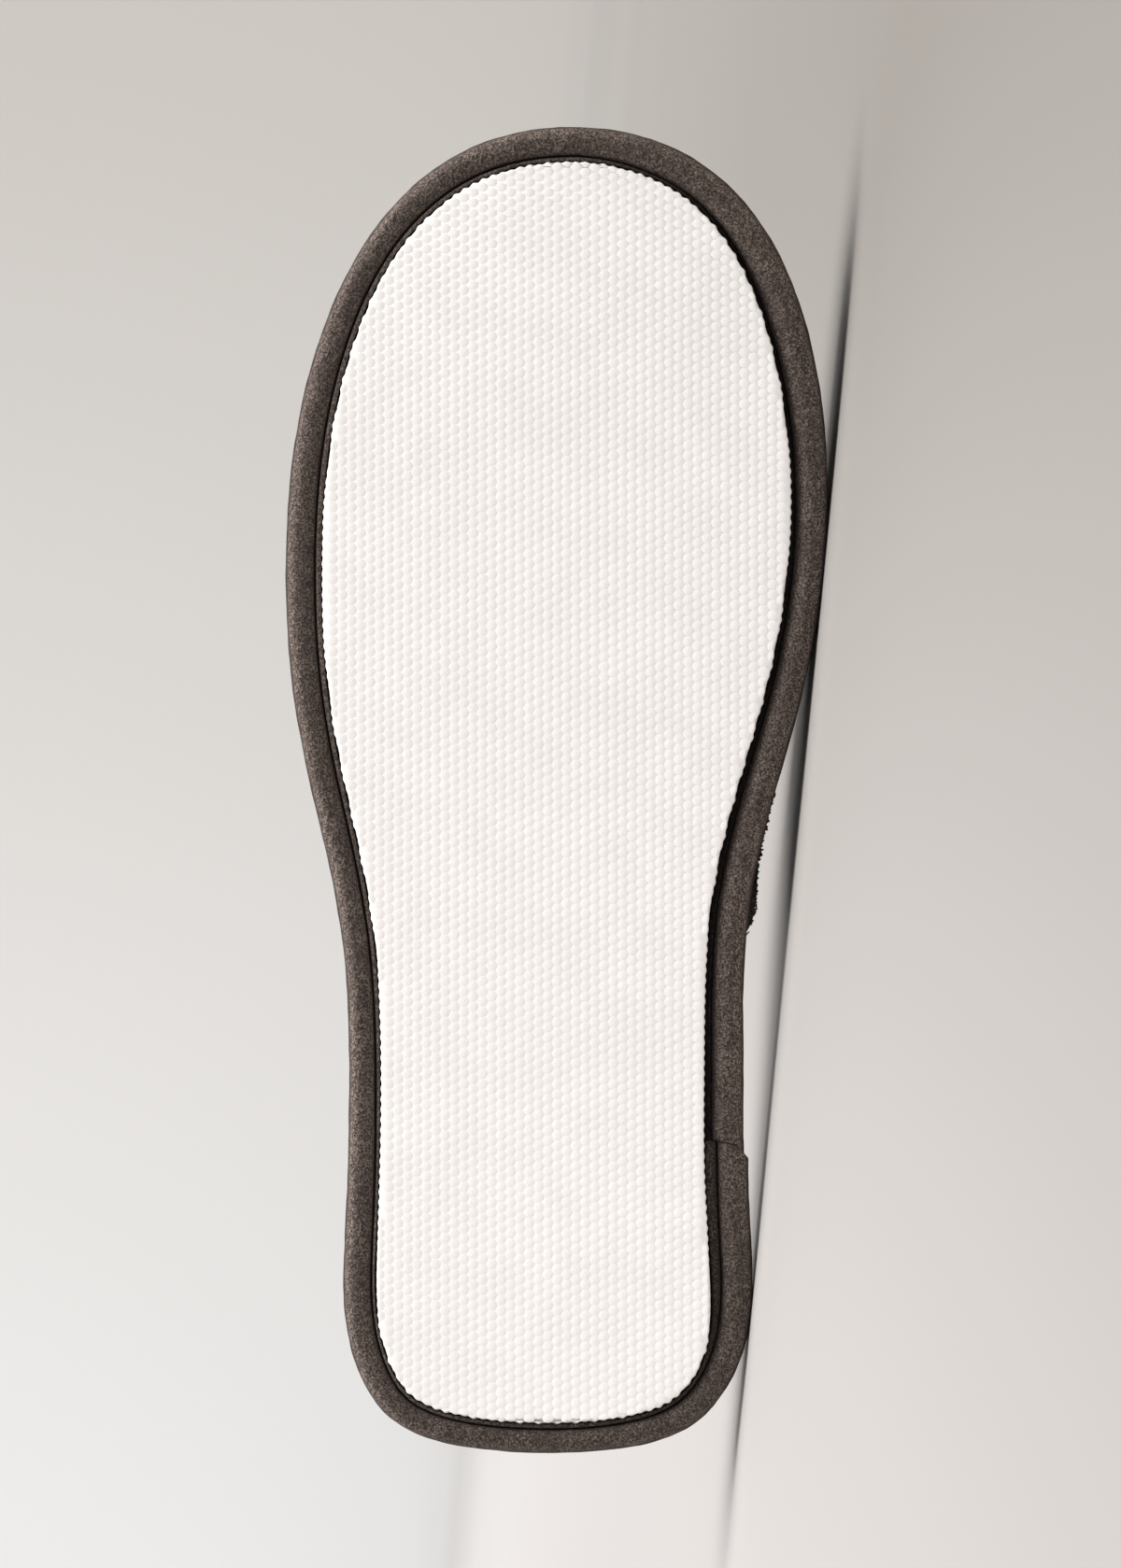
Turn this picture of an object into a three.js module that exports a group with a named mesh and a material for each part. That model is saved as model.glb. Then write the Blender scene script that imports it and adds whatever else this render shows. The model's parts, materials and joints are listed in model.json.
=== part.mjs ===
// A right-foot terry slipper with an open back, lying on its inner side.
// Sizes are in millimetres. The slipper is first built standing: x runs from heel to toe, y towards the
// inner side of the foot, and z up from the tread. It is then laid down on the face it would rest on.
import * as THREE from "three";
import { ConvexHull } from "three/addons/math/ConvexHull.js";

// Plan of the border
const LENGTH = 270;
const BALL_WIDTH = 110;
const WAIST_WIDTH = 80;
const HEEL_WIDTH = 82.4;

// Platform and sole
const OUTSOLE_THICKNESS = 2.2;
const OUTSOLE_EDGE_ROUND = 0.4;
const PLATFORM_HEIGHT = 12;
const PLATFORM_ROUND = 4.2;
const ROLL_LOWEST = 0.7;
const ROLL_WIDEST = 5;
const FLANGE_HEIGHT = 1.2;
const FLANGE_WIDTH = 0.8;
const CREVICE_DEPTH = 1.1;
const CREVICE_WIDTH = 0.6;
const BORDER_AT_HEEL = 6.4;
const BORDER_AT_TOE = 7.5;
const BORDER_AT_INNER_SIDE = 8.1;
const BORDER_AT_OUTER_SIDE = 7.3;
const TOE_SPRING = 3;
const SPRING_FROM_HEEL = 208;

// The lapped end of the strip that covers the border
const LAP_THICKNESS = 0.8;
const LAP_FROM_HEEL = 60;
const LAP_FADE = 55;
const LAP_EDGE = 1.2;

// Upper
const WALL = 3;
const SEAM_INSET = 2.7;
const REAR_CORNER_FROM_HEEL = 104;
const THROAT_FROM_HEEL = 152;
const INSTEP_HEIGHT = 62;
const TOE_HEIGHT = 41;
const TOE_BOX_SETBACK = 37;
const BELLY_HEIGHT = 12;
const BELLY = 2.4;
const BINDING_WIDTH = 7;
const BINDING_THICKNESS = 0.9;

// Footbed
const FOOTBED_THICKNESS = 4.2;
const FOOTBED_CUP = 1;
const FOOTBED_EDGE_ROUND = 1.6;
const FOOTBED_CLEARANCE = 0.5;
const FOOTBED_PINCH = 1.3;
const FOOTBED_PINCH_REACH = 11;
const FOOTBED_UNDERCUT = 0.8;
const HOLLOW_FROM_HEEL = 42;
const HOLLOW_FROM_TOE = 48;

const GAP = 0.3;
const ROUNDNESS = 2.3;

// Where the weight hangs, as shares of the length and of the platform's height. It picks the face that
// the slipper lies on.
const BALANCE = { along: 0.54, height: 0.88 };

// The border's plan, a row for each turn in degrees from the heel's tip along the inner side to the toe.
// half is half the width there as a share of half the named width, and swing is how far the middle of
// the shoe stands towards the inner side, as a share of the ball's width.
const PLAN = [
  { turn: 0, of: HEEL_WIDTH, half: 0, swing: -0.015 },
  { turn: 12, of: HEEL_WIDTH, half: 0.582, swing: -0.019 },
  { turn: 24, of: HEEL_WIDTH, half: 0.865, swing: -0.0205 },
  { turn: 36, of: HEEL_WIDTH, half: 0.992, swing: -0.0185 },
  { turn: 48, of: HEEL_WIDTH, half: 0.993, swing: -0.021 },
  { turn: 60, of: WAIST_WIDTH, half: 1.004, swing: -0.0205 },
  { turn: 72, of: WAIST_WIDTH, half: 1.008, swing: -0.022 },
  { turn: 84, of: BALL_WIDTH, half: 0.797, swing: -0.0265 },
  { turn: 96, of: BALL_WIDTH, half: 0.922, swing: -0.02 },
  { turn: 108, of: BALL_WIDTH, half: 0.992, swing: -0.006 },
  { turn: 120, of: BALL_WIDTH, half: 0.988, swing: 0.0045 },
  { turn: 132, of: BALL_WIDTH, half: 0.914, swing: 0.0135 },
  { turn: 144, of: BALL_WIDTH, half: 0.777, swing: 0.021 },
  { turn: 156, of: BALL_WIDTH, half: 0.577, swing: 0.026 },
  { turn: 168, of: BALL_WIDTH, half: 0.317, swing: 0.0275 },
  { turn: 180, of: BALL_WIDTH, half: 0, swing: 0.0275 },
];

// The vamp, a row for each station from the rear corners (0) to the tip of the toe (1). crown is the
// height of its ridge, from the toe's height (0) to the instep's (1). The bellies say how far the cloth
// stands out past its seam on each side of the foot, as shares of the named belly.
const VAMP = [
  { station: 0, crown: 1.0, innerBelly: 1.5, outerBelly: 1.05 },
  { station: 0.2, crown: 0.86, innerBelly: 1.4, outerBelly: 0.95 },
  { station: 0.4, crown: 0.65, innerBelly: 1.0, outerBelly: 0.92 },
  { station: 0.6, crown: 0.43, innerBelly: 0.95, outerBelly: 0.92 },
  { station: 0.8, crown: 0.2, innerBelly: 0.95, outerBelly: 0.95 },
  { station: 1, crown: 0, innerBelly: 1.0, outerBelly: 1.0 },
];

const COLUMNS = 90;
const VAMP_COLUMNS = 48;
const HALF_TURN = Math.PI;
const QUARTER = Math.PI / 2;

const mix = (a, b, share) => a + (b - a) * share;
const radians = (degrees) => (degrees * Math.PI) / 180;

function eased(from, to, value) {
  const share = Math.min(1, Math.max(0, (value - from) / (to - from)));
  return share * share * (3 - 2 * share);
}

// A smooth curve through a column of evenly spaced rows of a table, read at a share of its length.
function readColumn(table, column, share) {
  const place = Math.min(1, Math.max(0, share)) * (table.length - 1);
  const row = Math.min(table.length - 2, Math.floor(place));
  const at = (k) => table[Math.min(table.length - 1, Math.max(0, k))][column];
  const [a, b, c, d] = [at(row - 1), at(row), at(row + 1), at(row + 2)];
  const t = place - row;
  return b + 0.5 * t * (c - a + t * (2 * a - 5 * b + 4 * c - d + t * (3 * (b - c) + d - a)));
}

// The plan's half widths as a sum of sines and its swings as a sum of cosines, so that one turn right
// round the shoe gives one smooth closed curve.
const PLAN_STEPS = PLAN.length - 1;
const endShare = (row) => (row === 0 || row === PLAN_STEPS ? 0.5 : 1);
const waves = PLAN.map((_, wave) => {
  let sine = 0;
  let cosine = 0;
  PLAN.forEach((row, k) => {
    const angle = radians(row.turn) * wave;
    sine += (2 / PLAN_STEPS) * ((row.half * row.of) / 2) * Math.sin(angle);
    cosine += (2 / PLAN_STEPS) * endShare(k) * row.swing * BALL_WIDTH * Math.cos(angle);
  });
  return { sine, cosine: cosine * endShare(wave) };
});

const swingAt = (turn) => waves.reduce((sum, w, k) => sum + w.cosine * Math.cos(k * turn), 0);
const halfAt = (turn) => waves.reduce((sum, w, k) => sum + w.sine * Math.sin(k * turn), 0);
const alongAt = (turn) => (LENGTH / 2) * (1 - Math.cos(turn));
const turnAt = (along) => Math.acos(1 - (2 * along) / LENGTH);

// The border's outermost line, seen from above.
function outline(turn) {
  return new THREE.Vector2(alongAt(turn), swingAt(turn) + halfAt(turn));
}

function outwardAt(turn) {
  const step = outline(turn + 0.001).sub(outline(turn - 0.001)).normalize();
  return new THREE.Vector2(-step.y, step.x);
}

function inset(turn, distance) {
  return outline(turn).addScaledVector(outwardAt(turn), -distance);
}

// Width of the rolled border, eased between the four sides.
function borderAt(turn) {
  const lengthways = Math.cos(turn) > 0 ? BORDER_AT_HEEL : BORDER_AT_TOE;
  const sideways = Math.sin(turn) > 0 ? BORDER_AT_INNER_SIDE : BORDER_AT_OUTER_SIDE;
  return lengthways * Math.cos(turn) ** 2 + sideways * Math.sin(turn) ** 2;
}

// How much higher the whole shoe stands towards the toe.
function springAt(along) {
  const share = Math.max(0, (along - SPRING_FROM_HEEL) / (LENGTH - SPRING_FROM_HEEL));
  return TOE_SPRING * share * share;
}

// The extra thickness of the lapped strip, on the inner side near the heel.
function lapAt(turn) {
  const along = alongAt(turn);
  if (Math.sin(turn) <= 0) return 0;
  const edge = eased(-LAP_EDGE / 2, LAP_EDGE / 2, LAP_FROM_HEEL - along);
  return LAP_THICKNESS * edge * eased(LAP_FROM_HEEL - LAP_FADE, LAP_FROM_HEEL, along);
}

const lifted = (x, y, z) => new THREE.Vector3(x, y, z + springAt(x));

// The turns at which the plan is cut, evenly but for two at the lap's edge, in mirrored pairs.
const lapTurns = [LAP_FROM_HEEL - LAP_EDGE / 2, LAP_FROM_HEEL + LAP_EDGE / 2].map(turnAt);
const edgeTurns = lapTurns.concat(lapTurns.map((turn) => 2 * HALF_TURN - turn));
const TURNS = Array.from({ length: COLUMNS }, (_, k) => (k * 2 * HALF_TURN) / COLUMNS)
  .filter((turn) => edgeTurns.every((edge) => Math.abs(turn - edge) > radians(1)))
  .concat(edgeTurns)
  .sort((a, b) => a - b);

// A closed loft through rings of equal length, with a lid on its first and last ring. Each lid is a
// ladder of narrow faces, whose rungs join point k to point (last - k).
function loft(rings, last) {
  const count = rings[0].length;
  const faces = [];
  const addFace = (a, b, c, d) => {
    if (a !== b && b !== c) faces.push(a, b, c);
    if (c !== d && d !== a) faces.push(a, c, d);
  };
  for (let r = 0; r < rings.length - 1; r++) {
    for (let k = 0; k < count; k++) {
      const [a, b] = [r * count + k, r * count + ((k + 1) % count)];
      addFace(a, a + count, b + count, b);
    }
  }
  for (const [ring, above] of [[0, false], [rings.length - 1, true]]) {
    for (let k = 0; 2 * k < last - 1; k++) {
      const rungs = [k, k + 1, last - k - 1, last - k].map((i) => ring * count + (i % count));
      addFace(...(above ? rungs.reverse() : rungs));
    }
  }
  return { points: rings.flat(), faces };
}

// A ring round the whole shoe at a height, inset from the border's outermost line.
function ring(depthAt, height) {
  return TURNS.map((turn) => {
    const depth = depthAt(turn);
    const lap = lapAt(turn) * Math.max(0, 1 - depth / PLATFORM_ROUND);
    const { x, y } = inset(turn, depth - lap);
    return lifted(x, y, height);
  });
}

// The quarter of a rounded edge: run goes from 0 to 1 sideways while rise goes from 0 to 1 upwards.
function quarterRound(angle) {
  const power = 2 / ROUNDNESS;
  return { run: 1 - Math.cos(angle) ** power, rise: Math.sin(angle) ** power };
}

const EDGE_ANGLES = [22, 44, 64, 80, 90].map(radians);

function outsole() {
  const rings = [
    ring((turn) => borderAt(turn) + OUTSOLE_EDGE_ROUND, 0),
    ring(borderAt, OUTSOLE_EDGE_ROUND),
    ring(borderAt, OUTSOLE_THICKNESS),
  ];
  return loft(rings, TURNS.length);
}

// The platform, from the recess over the outsole, past the flange and the crevice, and round the roll.
function midsole() {
  const recess = (turn) => borderAt(turn) - GAP;
  const flange = (turn) => recess(turn) - FLANGE_WIDTH;
  const crevice = (turn) => flange(turn) - CREVICE_WIDTH;
  const lowest = (turn) => 0.6 * crevice(turn);
  const rings = [
    ring(recess, OUTSOLE_THICKNESS + GAP),
    ring(recess, FLANGE_HEIGHT),
    ring(flange, FLANGE_HEIGHT),
    ring((turn) => flange(turn) - CREVICE_WIDTH / 2, FLANGE_HEIGHT + CREVICE_DEPTH),
    ring(crevice, FLANGE_HEIGHT),
    ring((turn) => mix(crevice(turn), lowest(turn), 0.35), mix(FLANGE_HEIGHT, ROLL_LOWEST, 0.75)),
    ring(lowest, ROLL_LOWEST),
  ];
  for (const angle of EDGE_ANGLES) {
    const { run, rise } = quarterRound(QUARTER - angle);
    rings.push(ring((turn) => lowest(turn) * run, mix(ROLL_WIDEST, ROLL_LOWEST, rise)));
  }
  for (const angle of EDGE_ANGLES) {
    const { run, rise } = quarterRound(angle);
    rings.push(ring(() => PLATFORM_ROUND * run, mix(ROLL_WIDEST, PLATFORM_HEIGHT, rise)));
  }
  return loft(rings, TURNS.length);
}

const SEAT = PLATFORM_HEIGHT + GAP;
const CORNER_TURN = turnAt(REAR_CORNER_FROM_HEEL);

// The padded footbed, pinched where the vamp's binding comes down beside it, and a little hollow.
function insole() {
  const top = SEAT + FOOTBED_THICKNESS;
  const edge = (turn) => {
    const past = (alongAt(turn) - REAR_CORNER_FROM_HEEL) / FOOTBED_PINCH_REACH;
    return SEAM_INSET + WALL + FOOTBED_CLEARANCE + FOOTBED_PINCH * Math.exp(-past * past);
  };
  const rings = [
    ring((turn) => edge(turn) + FOOTBED_UNDERCUT, SEAT),
    ring(edge, SEAT + FOOTBED_UNDERCUT),
  ];
  for (const angle of [0, 30, 60, 90].map(radians)) {
    const { run, rise } = quarterRound(angle);
    const height = top - FOOTBED_EDGE_ROUND * (1 - rise);
    rings.push(ring((turn) => edge(turn) + FOOTBED_EDGE_ROUND * run, height));
  }
  const rim = rings.at(-1);
  for (const inward of [0.2, 0.45, 0.7]) {
    const height = top - FOOTBED_CUP * eased(0, 0.7, inward);
    const inner = TURNS.map((turn, k) => {
      const middle = mix(HOLLOW_FROM_HEEL, LENGTH - HOLLOW_FROM_TOE, alongAt(turn) / LENGTH);
      const x = mix(rim[k].x, middle, inward);
      return lifted(x, mix(rim[k].y, swingAt(turn), inward), height);
    });
    rings.push(inner);
  }
  return loft(rings, TURNS.length);
}

// A point of the vamp's outer face. turn goes round the toe from one rear corner to the other, climb
// goes from the seam (0) past the widest line up to the ridge (1).
const WIDEST_CLIMB = 0.22;
const RIDGE_END = LENGTH - TOE_BOX_SETBACK;

function vampPoint(turn, climb) {
  const station = (alongAt(turn) - REAR_CORNER_FROM_HEEL) / (LENGTH - REAR_CORNER_FROM_HEEL);
  const side = turn < HALF_TURN ? "innerBelly" : "outerBelly";
  const belly = BELLY * readColumn(VAMP, side, station);
  const ridgeX = mix(THROAT_FROM_HEEL, RIDGE_END, station);
  const crownAt = (share) => mix(TOE_HEIGHT, INSTEP_HEIGHT, readColumn(VAMP, "crown", share));
  const crown = crownAt(station);
  const [before, after] = [Math.max(0, station - 0.02), Math.min(1, station + 0.02)];
  const rampLength = (after - before) * (RIDGE_END - THROAT_FROM_HEEL);
  const slope = (crownAt(after) - crownAt(before)) / rampLength;

  const rising = Math.min(1, climb / WIDEST_CLIMB);
  const arch = (Math.max(0, climb - WIDEST_CLIMB) / (1 - WIDEST_CLIMB)) * QUARTER;
  const { run, rise } = quarterRound(arch);
  const height = mix(SEAT + BELLY_HEIGHT * rising, crown, rise);
  const risen = (height - SEAT) / (crown - SEAT);
  const forward = mix(risen ** 1.3, run, eased(0.15, 0.7, station));

  const base = inset(turn, SEAM_INSET);
  const out = outwardAt(turn).multiplyScalar(belly * Math.sin(rising * QUARTER) * (1 - run));
  const x = mix(base.x, ridgeX, forward) + out.x;
  const y = mix(base.y, swingAt(turn), run) + out.y;
  return lifted(x, y, height + slope * (x - ridgeX) * run * run);
}

// The same point moved out of the face (or into it, below zero), level where the vamp meets its seat.
function vampSkin(turn, climb, out) {
  const level = Math.min(climb, 0.97);
  const step = 0.004;
  const round = vampPoint(turn + step, level).sub(vampPoint(turn - step, level));
  const top = vampPoint(turn, Math.min(1, climb + step));
  const up = top.sub(vampPoint(turn, Math.max(0, climb - step)));
  const outward = up.cross(round);
  if (climb === 0) outward.z = 0;
  return vampPoint(turn, climb).addScaledVector(outward.normalize(), out);
}

const CLIMBS = [0, 0.5, 1].map((share) => share * WIDEST_CLIMB);
for (const degrees of [12, 25, 38, 50, 62, 72, 82, 90]) {
  CLIMBS.push(mix(WIDEST_CLIMB, 1, degrees / 90));
}

// The hollow vamp: an outer and an inner skin, joined along the seam and along the topline. Both sides
// of the foot share the points of the ridge.
function upper() {
  const top = CLIMBS.length - 1;
  const points = [];
  const index = new Map();
  const at = (column, row, inner) => {
    const shared = row === top ? Math.min(column, VAMP_COLUMNS - column) : column;
    const key = `${shared} ${row} ${inner}`;
    if (!index.has(key)) {
      const turn = mix(CORNER_TURN, 2 * HALF_TURN - CORNER_TURN, shared / VAMP_COLUMNS);
      index.set(key, points.length);
      points.push(vampSkin(turn, CLIMBS[row], inner ? -WALL : 0));
    }
    return index.get(key);
  };
  const faces = [];
  const addFace = (a, b, c, d) => faces.push(a, b, c, a, c, d);
  for (let i = 0; i < VAMP_COLUMNS; i++) {
    for (let j = 0; j < top; j++) {
      addFace(at(i, j), at(i, j + 1), at(i + 1, j + 1), at(i + 1, j));
      addFace(at(i, j, true), at(i + 1, j, true), at(i + 1, j + 1, true), at(i, j + 1, true));
    }
    addFace(at(i, 0), at(i + 1, 0), at(i + 1, 0, true), at(i, 0, true));
  }
  for (let j = 0; j < top; j++) {
    addFace(at(0, j + 1), at(0, j), at(0, j, true), at(0, j + 1, true));
    const end = VAMP_COLUMNS;
    addFace(at(end, j), at(end, j + 1), at(end, j + 1, true), at(end, j, true));
  }
  return { points, faces };
}

// The strip folded over the topline, as a swept U. forward is measured along the vamp from its rear
// edge, and out from its outer face.
function toplineBinding() {
  const outer = GAP + BINDING_THICKNESS;
  const within = -WALL - outer;
  const middle = -WALL / 2;
  const fold = [
    { forward: BINDING_WIDTH, out: outer },
    { forward: BINDING_WIDTH / 2, out: outer },
    { forward: 0, out: outer },
    { forward: -0.75 * outer, out: 0.4 * outer },
    { forward: -outer, out: middle + 0.25 * WALL },
    { forward: -outer, out: middle - 0.25 * WALL },
    { forward: -0.75 * outer, out: -WALL - 0.4 * outer },
    { forward: 0, out: within },
    { forward: BINDING_WIDTH / 2, out: within },
    { forward: BINDING_WIDTH, out: within },
  ];
  const lining = fold.map(({ forward, out }) => ({
    forward: Math.max(forward, -GAP),
    out: out > middle ? Math.min(out, GAP) : Math.max(out, -WALL - GAP),
  }));
  const section = fold.concat(lining.reverse());
  const station = (side, climb) => {
    const turn = side > 0 ? CORNER_TURN : 2 * HALF_TURN - CORNER_TURN;
    const pace = vampPoint(turn + 0.01 * side, climb).distanceTo(vampPoint(turn, climb)) / 0.01;
    return section.map(({ forward, out }) => {
      return vampSkin(turn + (side * forward) / pace, climb, out);
    });
  };
  const rising = CLIMBS.map((climb) => station(1, climb));
  const falling = CLIMBS.slice(0, -1).map((climb) => station(-1, climb));
  return loft(rising.concat(falling.reverse()), section.length - 1);
}

function meshOf(name, { points, faces }, color, roughness) {
  let volume = 0;
  for (let k = 0; k < faces.length; k += 3) {
    const [a, b, c] = faces.slice(k, k + 3).map((corner) => points[corner]);
    volume += a.dot(new THREE.Vector3().crossVectors(b, c));
  }
  if (volume < 0) faces.reverse();
  const geometry = new THREE.BufferGeometry().setFromPoints(points).setIndex(faces);
  geometry.computeVertexNormals();
  const material = new THREE.MeshStandardMaterial({ color, roughness, metalness: 0 });
  const mesh = new THREE.Mesh(geometry, material);
  mesh.name = name;
  return mesh;
}

const slipper = new THREE.Group();
slipper.name = "terry_slipper";
slipper.add(
  meshOf("outsole", outsole(), 0xf2efeb, 0.55),
  meshOf("midsole", midsole(), 0x574d48, 0.9),
  meshOf("insole", insole(), 0x5d524c, 1),
  meshOf("upper", upper(), 0x5d524c, 1),
  meshOf("topline_binding", toplineBinding(), 0x574d48, 0.9),
);

// The face of the whole slipper's hull that lies under its weight when its inner side is down.
function restingFace() {
  const points = slipper.children.flatMap((mesh) => {
    const places = mesh.geometry.getAttribute("position");
    return Array.from({ length: places.count }, (_, k) => {
      return new THREE.Vector3().fromBufferAttribute(places, k);
    });
  });
  const balance = new THREE.Vector3(BALANCE.along * LENGTH, 0, BALANCE.height * PLATFORM_HEIGHT);
  const reach = (face) => -face.distanceToPoint(balance) / face.normal.y;
  const facing = new ConvexHull().setFromPoints(points).faces.filter((face) => face.normal.y > 0.1);
  return facing.reduce((nearest, face) => (reach(face) < reach(nearest) ? face : nearest));
}

// Lay it down: the resting face looks down, the toe points along +X and the sole faces -Y. The origin
// is on the floor, under the middle of its bounding box.
const up = restingFace().normal.clone().negate();
const toeward = new THREE.Vector3(1, 0, 0).projectOnPlane(up).normalize();
const across = new THREE.Vector3().crossVectors(up, toeward);
slipper.quaternion.setFromRotationMatrix(new THREE.Matrix4().makeBasis(toeward, across, up)).invert();
slipper.updateMatrixWorld(true);
const box = new THREE.Box3().setFromObject(slipper, true);
slipper.position.set(-(box.min.x + box.max.x) / 2, -(box.min.y + box.max.y) / 2, -box.min.z);

export default slipper;
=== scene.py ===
# %% [markdown]
# # A terry slipper, dressed piece by piece
#
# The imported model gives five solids: the outsole, the platform (midsole), the footbed (insole), the
# upper and the binding of its topline. They have the right size and place, but plain faces. Here each
# one is replaced by a finely shaped piece that follows the same rule of shape, with the cloth, the
# terry loops and the dotted sole of the real slipper. The slipper lies on its inner side, with its
# sole facing the camera.

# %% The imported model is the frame
import json

import bpy
import numpy as np
from mathutils import Matrix, Vector, kdtree


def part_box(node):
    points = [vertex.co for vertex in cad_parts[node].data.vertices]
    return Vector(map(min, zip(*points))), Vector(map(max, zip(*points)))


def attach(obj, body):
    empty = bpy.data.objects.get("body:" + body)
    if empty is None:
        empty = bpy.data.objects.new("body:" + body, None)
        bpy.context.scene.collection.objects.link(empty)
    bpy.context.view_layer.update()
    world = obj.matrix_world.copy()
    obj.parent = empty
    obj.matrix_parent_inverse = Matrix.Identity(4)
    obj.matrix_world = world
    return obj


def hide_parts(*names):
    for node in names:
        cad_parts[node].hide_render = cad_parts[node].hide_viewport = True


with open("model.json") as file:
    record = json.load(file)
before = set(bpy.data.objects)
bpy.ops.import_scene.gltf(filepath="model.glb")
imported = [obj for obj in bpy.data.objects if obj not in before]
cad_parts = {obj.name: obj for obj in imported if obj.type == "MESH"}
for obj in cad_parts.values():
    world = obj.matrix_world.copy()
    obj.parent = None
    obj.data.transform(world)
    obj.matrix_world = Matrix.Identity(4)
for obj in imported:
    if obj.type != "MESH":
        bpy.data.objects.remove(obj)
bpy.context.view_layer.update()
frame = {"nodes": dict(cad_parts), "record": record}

for node in sorted(frame["nodes"]):
    low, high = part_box(node)
    print(node, "from", [round(1000 * v, 1) for v in low], "to", [round(1000 * v, 1) for v in high], "mm")

# %% [markdown]
# ## The slipper's own directions
#
# A shoemaker measures along the foot, across it and up from the tread, so the shapes below are worked
# out like that, in millimetres: x from the heel to the toe, y towards the inner side of the foot, and
# z up from the tread. The record's two flat spots on the tread say where that frame lies in the
# model: they are 45 and 175 mm from the heel, and their axis points out of the sole.

# %% From the slipper's millimetres to the model's metres
HEEL_MOUNT_FROM_HEEL = 45

mounts = {mount["name"]: mount for mount in frame["record"]["mounts"]}
heel_spot = Vector(mounts["heel_tread"]["pos_m"])
toeward = (Vector(mounts["forefoot_tread"]["pos_m"]) - heel_spot).normalized()
out_of_sole = Vector(mounts["heel_tread"]["axis"]).normalized()
inward_side = toeward.cross(out_of_sole).normalized()
AXES = np.array([toeward, inward_side, -out_of_sole])
ORIGIN = np.array(heel_spot - toeward * HEEL_MOUNT_FROM_HEEL / 1000)


def laid_down(points):
    """Points of the standing slipper, in millimetres, where they are on the lying one, in metres."""
    return ORIGIN + np.asarray(points, float) / 1000 @ AXES


print("toe direction", [round(v, 4) for v in toeward], "inner side", [round(v, 4) for v in inward_side])

# %% [markdown]
# ## The plan of the border
#
# Seen from below, the slipper is one smooth closed curve. A short table gives half its width and the
# sideways swing of its middle at every twelfth degree of half a turn from heel to toe. Written as a
# sum of sines and cosines, the table becomes a curve that can be asked for as finely as a piece
# needs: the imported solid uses 90 columns, and the cloth here several hundred.

# %% The plan as sums of waves
LENGTH = 270.0
BALL_WIDTH, WAIST_WIDTH, HEEL_WIDTH = 110.0, 80.0, 82.4
TOE_SPRING, SPRING_FROM_HEEL = 3.0, 208.0

PLAN = {
    "of": [HEEL_WIDTH] * 5 + [WAIST_WIDTH] * 2 + [BALL_WIDTH] * 9,
    "half": [0, 0.582, 0.865, 0.992, 0.993, 1.004, 1.008, 0.797, 0.922, 0.992, 0.988, 0.914, 0.777,
             0.577, 0.317, 0],
    "swing": [-0.015, -0.019, -0.0205, -0.0185, -0.021, -0.0205, -0.022, -0.0265, -0.02, -0.006, 0.0045,
              0.0135, 0.021, 0.026, 0.0275, 0.0275],
}
WAVES = np.arange(len(PLAN["half"]))
end_share = np.where((WAVES == 0) | (WAVES == WAVES[-1]), 0.5, 1.0)
table_angles = np.outer(WAVES, np.linspace(0, np.pi, len(WAVES)))
half_widths = np.array(PLAN["half"]) * np.array(PLAN["of"]) / 2
SINES = 2 / WAVES[-1] * np.sin(table_angles) @ half_widths
swings = end_share * np.array(PLAN["swing"]) * BALL_WIDTH
COSINES = 2 / WAVES[-1] * end_share * (np.cos(table_angles) @ swings)


def along_at(turn):
    return LENGTH / 2 * (1 - np.cos(turn))


def turn_at(along):
    return np.arccos(1 - 2 * np.asarray(along) / LENGTH)


def swing_at(turn):
    return np.cos(np.multiply.outer(turn, WAVES)) @ COSINES


def outline(turn):
    half = np.sin(np.multiply.outer(turn, WAVES)) @ SINES
    return np.stack([along_at(turn), swing_at(turn) + half], -1)


def outward_at(turn):
    step = outline(turn + 0.001) - outline(turn - 0.001)
    step /= np.linalg.norm(step, axis=-1, keepdims=True)
    return np.stack([-step[..., 1], step[..., 0]], -1)


def inset(turn, depth):
    return outline(turn) - outward_at(turn) * np.asarray(depth)[..., None]


def spring_at(along):
    share = np.maximum(0, (along - SPRING_FROM_HEEL) / (LENGTH - SPRING_FROM_HEEL))
    return TOE_SPRING * share**2


def eased(low, high, value):
    share = np.clip((value - low) / (high - low), 0, 1)
    return share * share * (3 - 2 * share)


def mix(a, b, share):
    return a + (b - a) * share


widest = outline(np.linspace(0, 2 * np.pi, 721))
print("plan", round(float(np.ptp(widest[:, 0])), 1), "x", round(float(np.ptp(widest[:, 1])), 1), "mm")

# %% [markdown]
# ## Nodes from Python
#
# A finish is a small graph of nodes. Placed by hand it would take pages, so one method adds any node:
# its type, its settings, and what goes into its sockets. What comes out is wrapped in a class that
# knows arithmetic, so a line such as `1 - fleck * 0.4` adds the Math nodes by itself. The same method
# serves the Geometry Nodes below.

# %% One class for sockets and one for the graphs that hold them
MM = 0.001


class Socket:
    """What comes out of a node. Arithmetic on it adds Math nodes."""

    def __init__(self, recipe, socket):
        self.recipe, self.socket = recipe, socket

    def maths(self, operation, *values):
        return self.recipe.node("ShaderNodeMath", {"operation": operation}, values)

    def __add__(self, other):
        return self.maths("ADD", self, other)

    def __mul__(self, other):
        return self.maths("MULTIPLY", self, other)

    def __sub__(self, other):
        return self.maths("SUBTRACT", self, other)

    def __rsub__(self, other):
        return self.maths("SUBTRACT", other, self)

    def __truediv__(self, other):
        return self.maths("DIVIDE", self, other)

    def __pow__(self, other):
        return self.maths("POWER", self, other)

    __radd__, __rmul__ = __add__, __mul__


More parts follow.
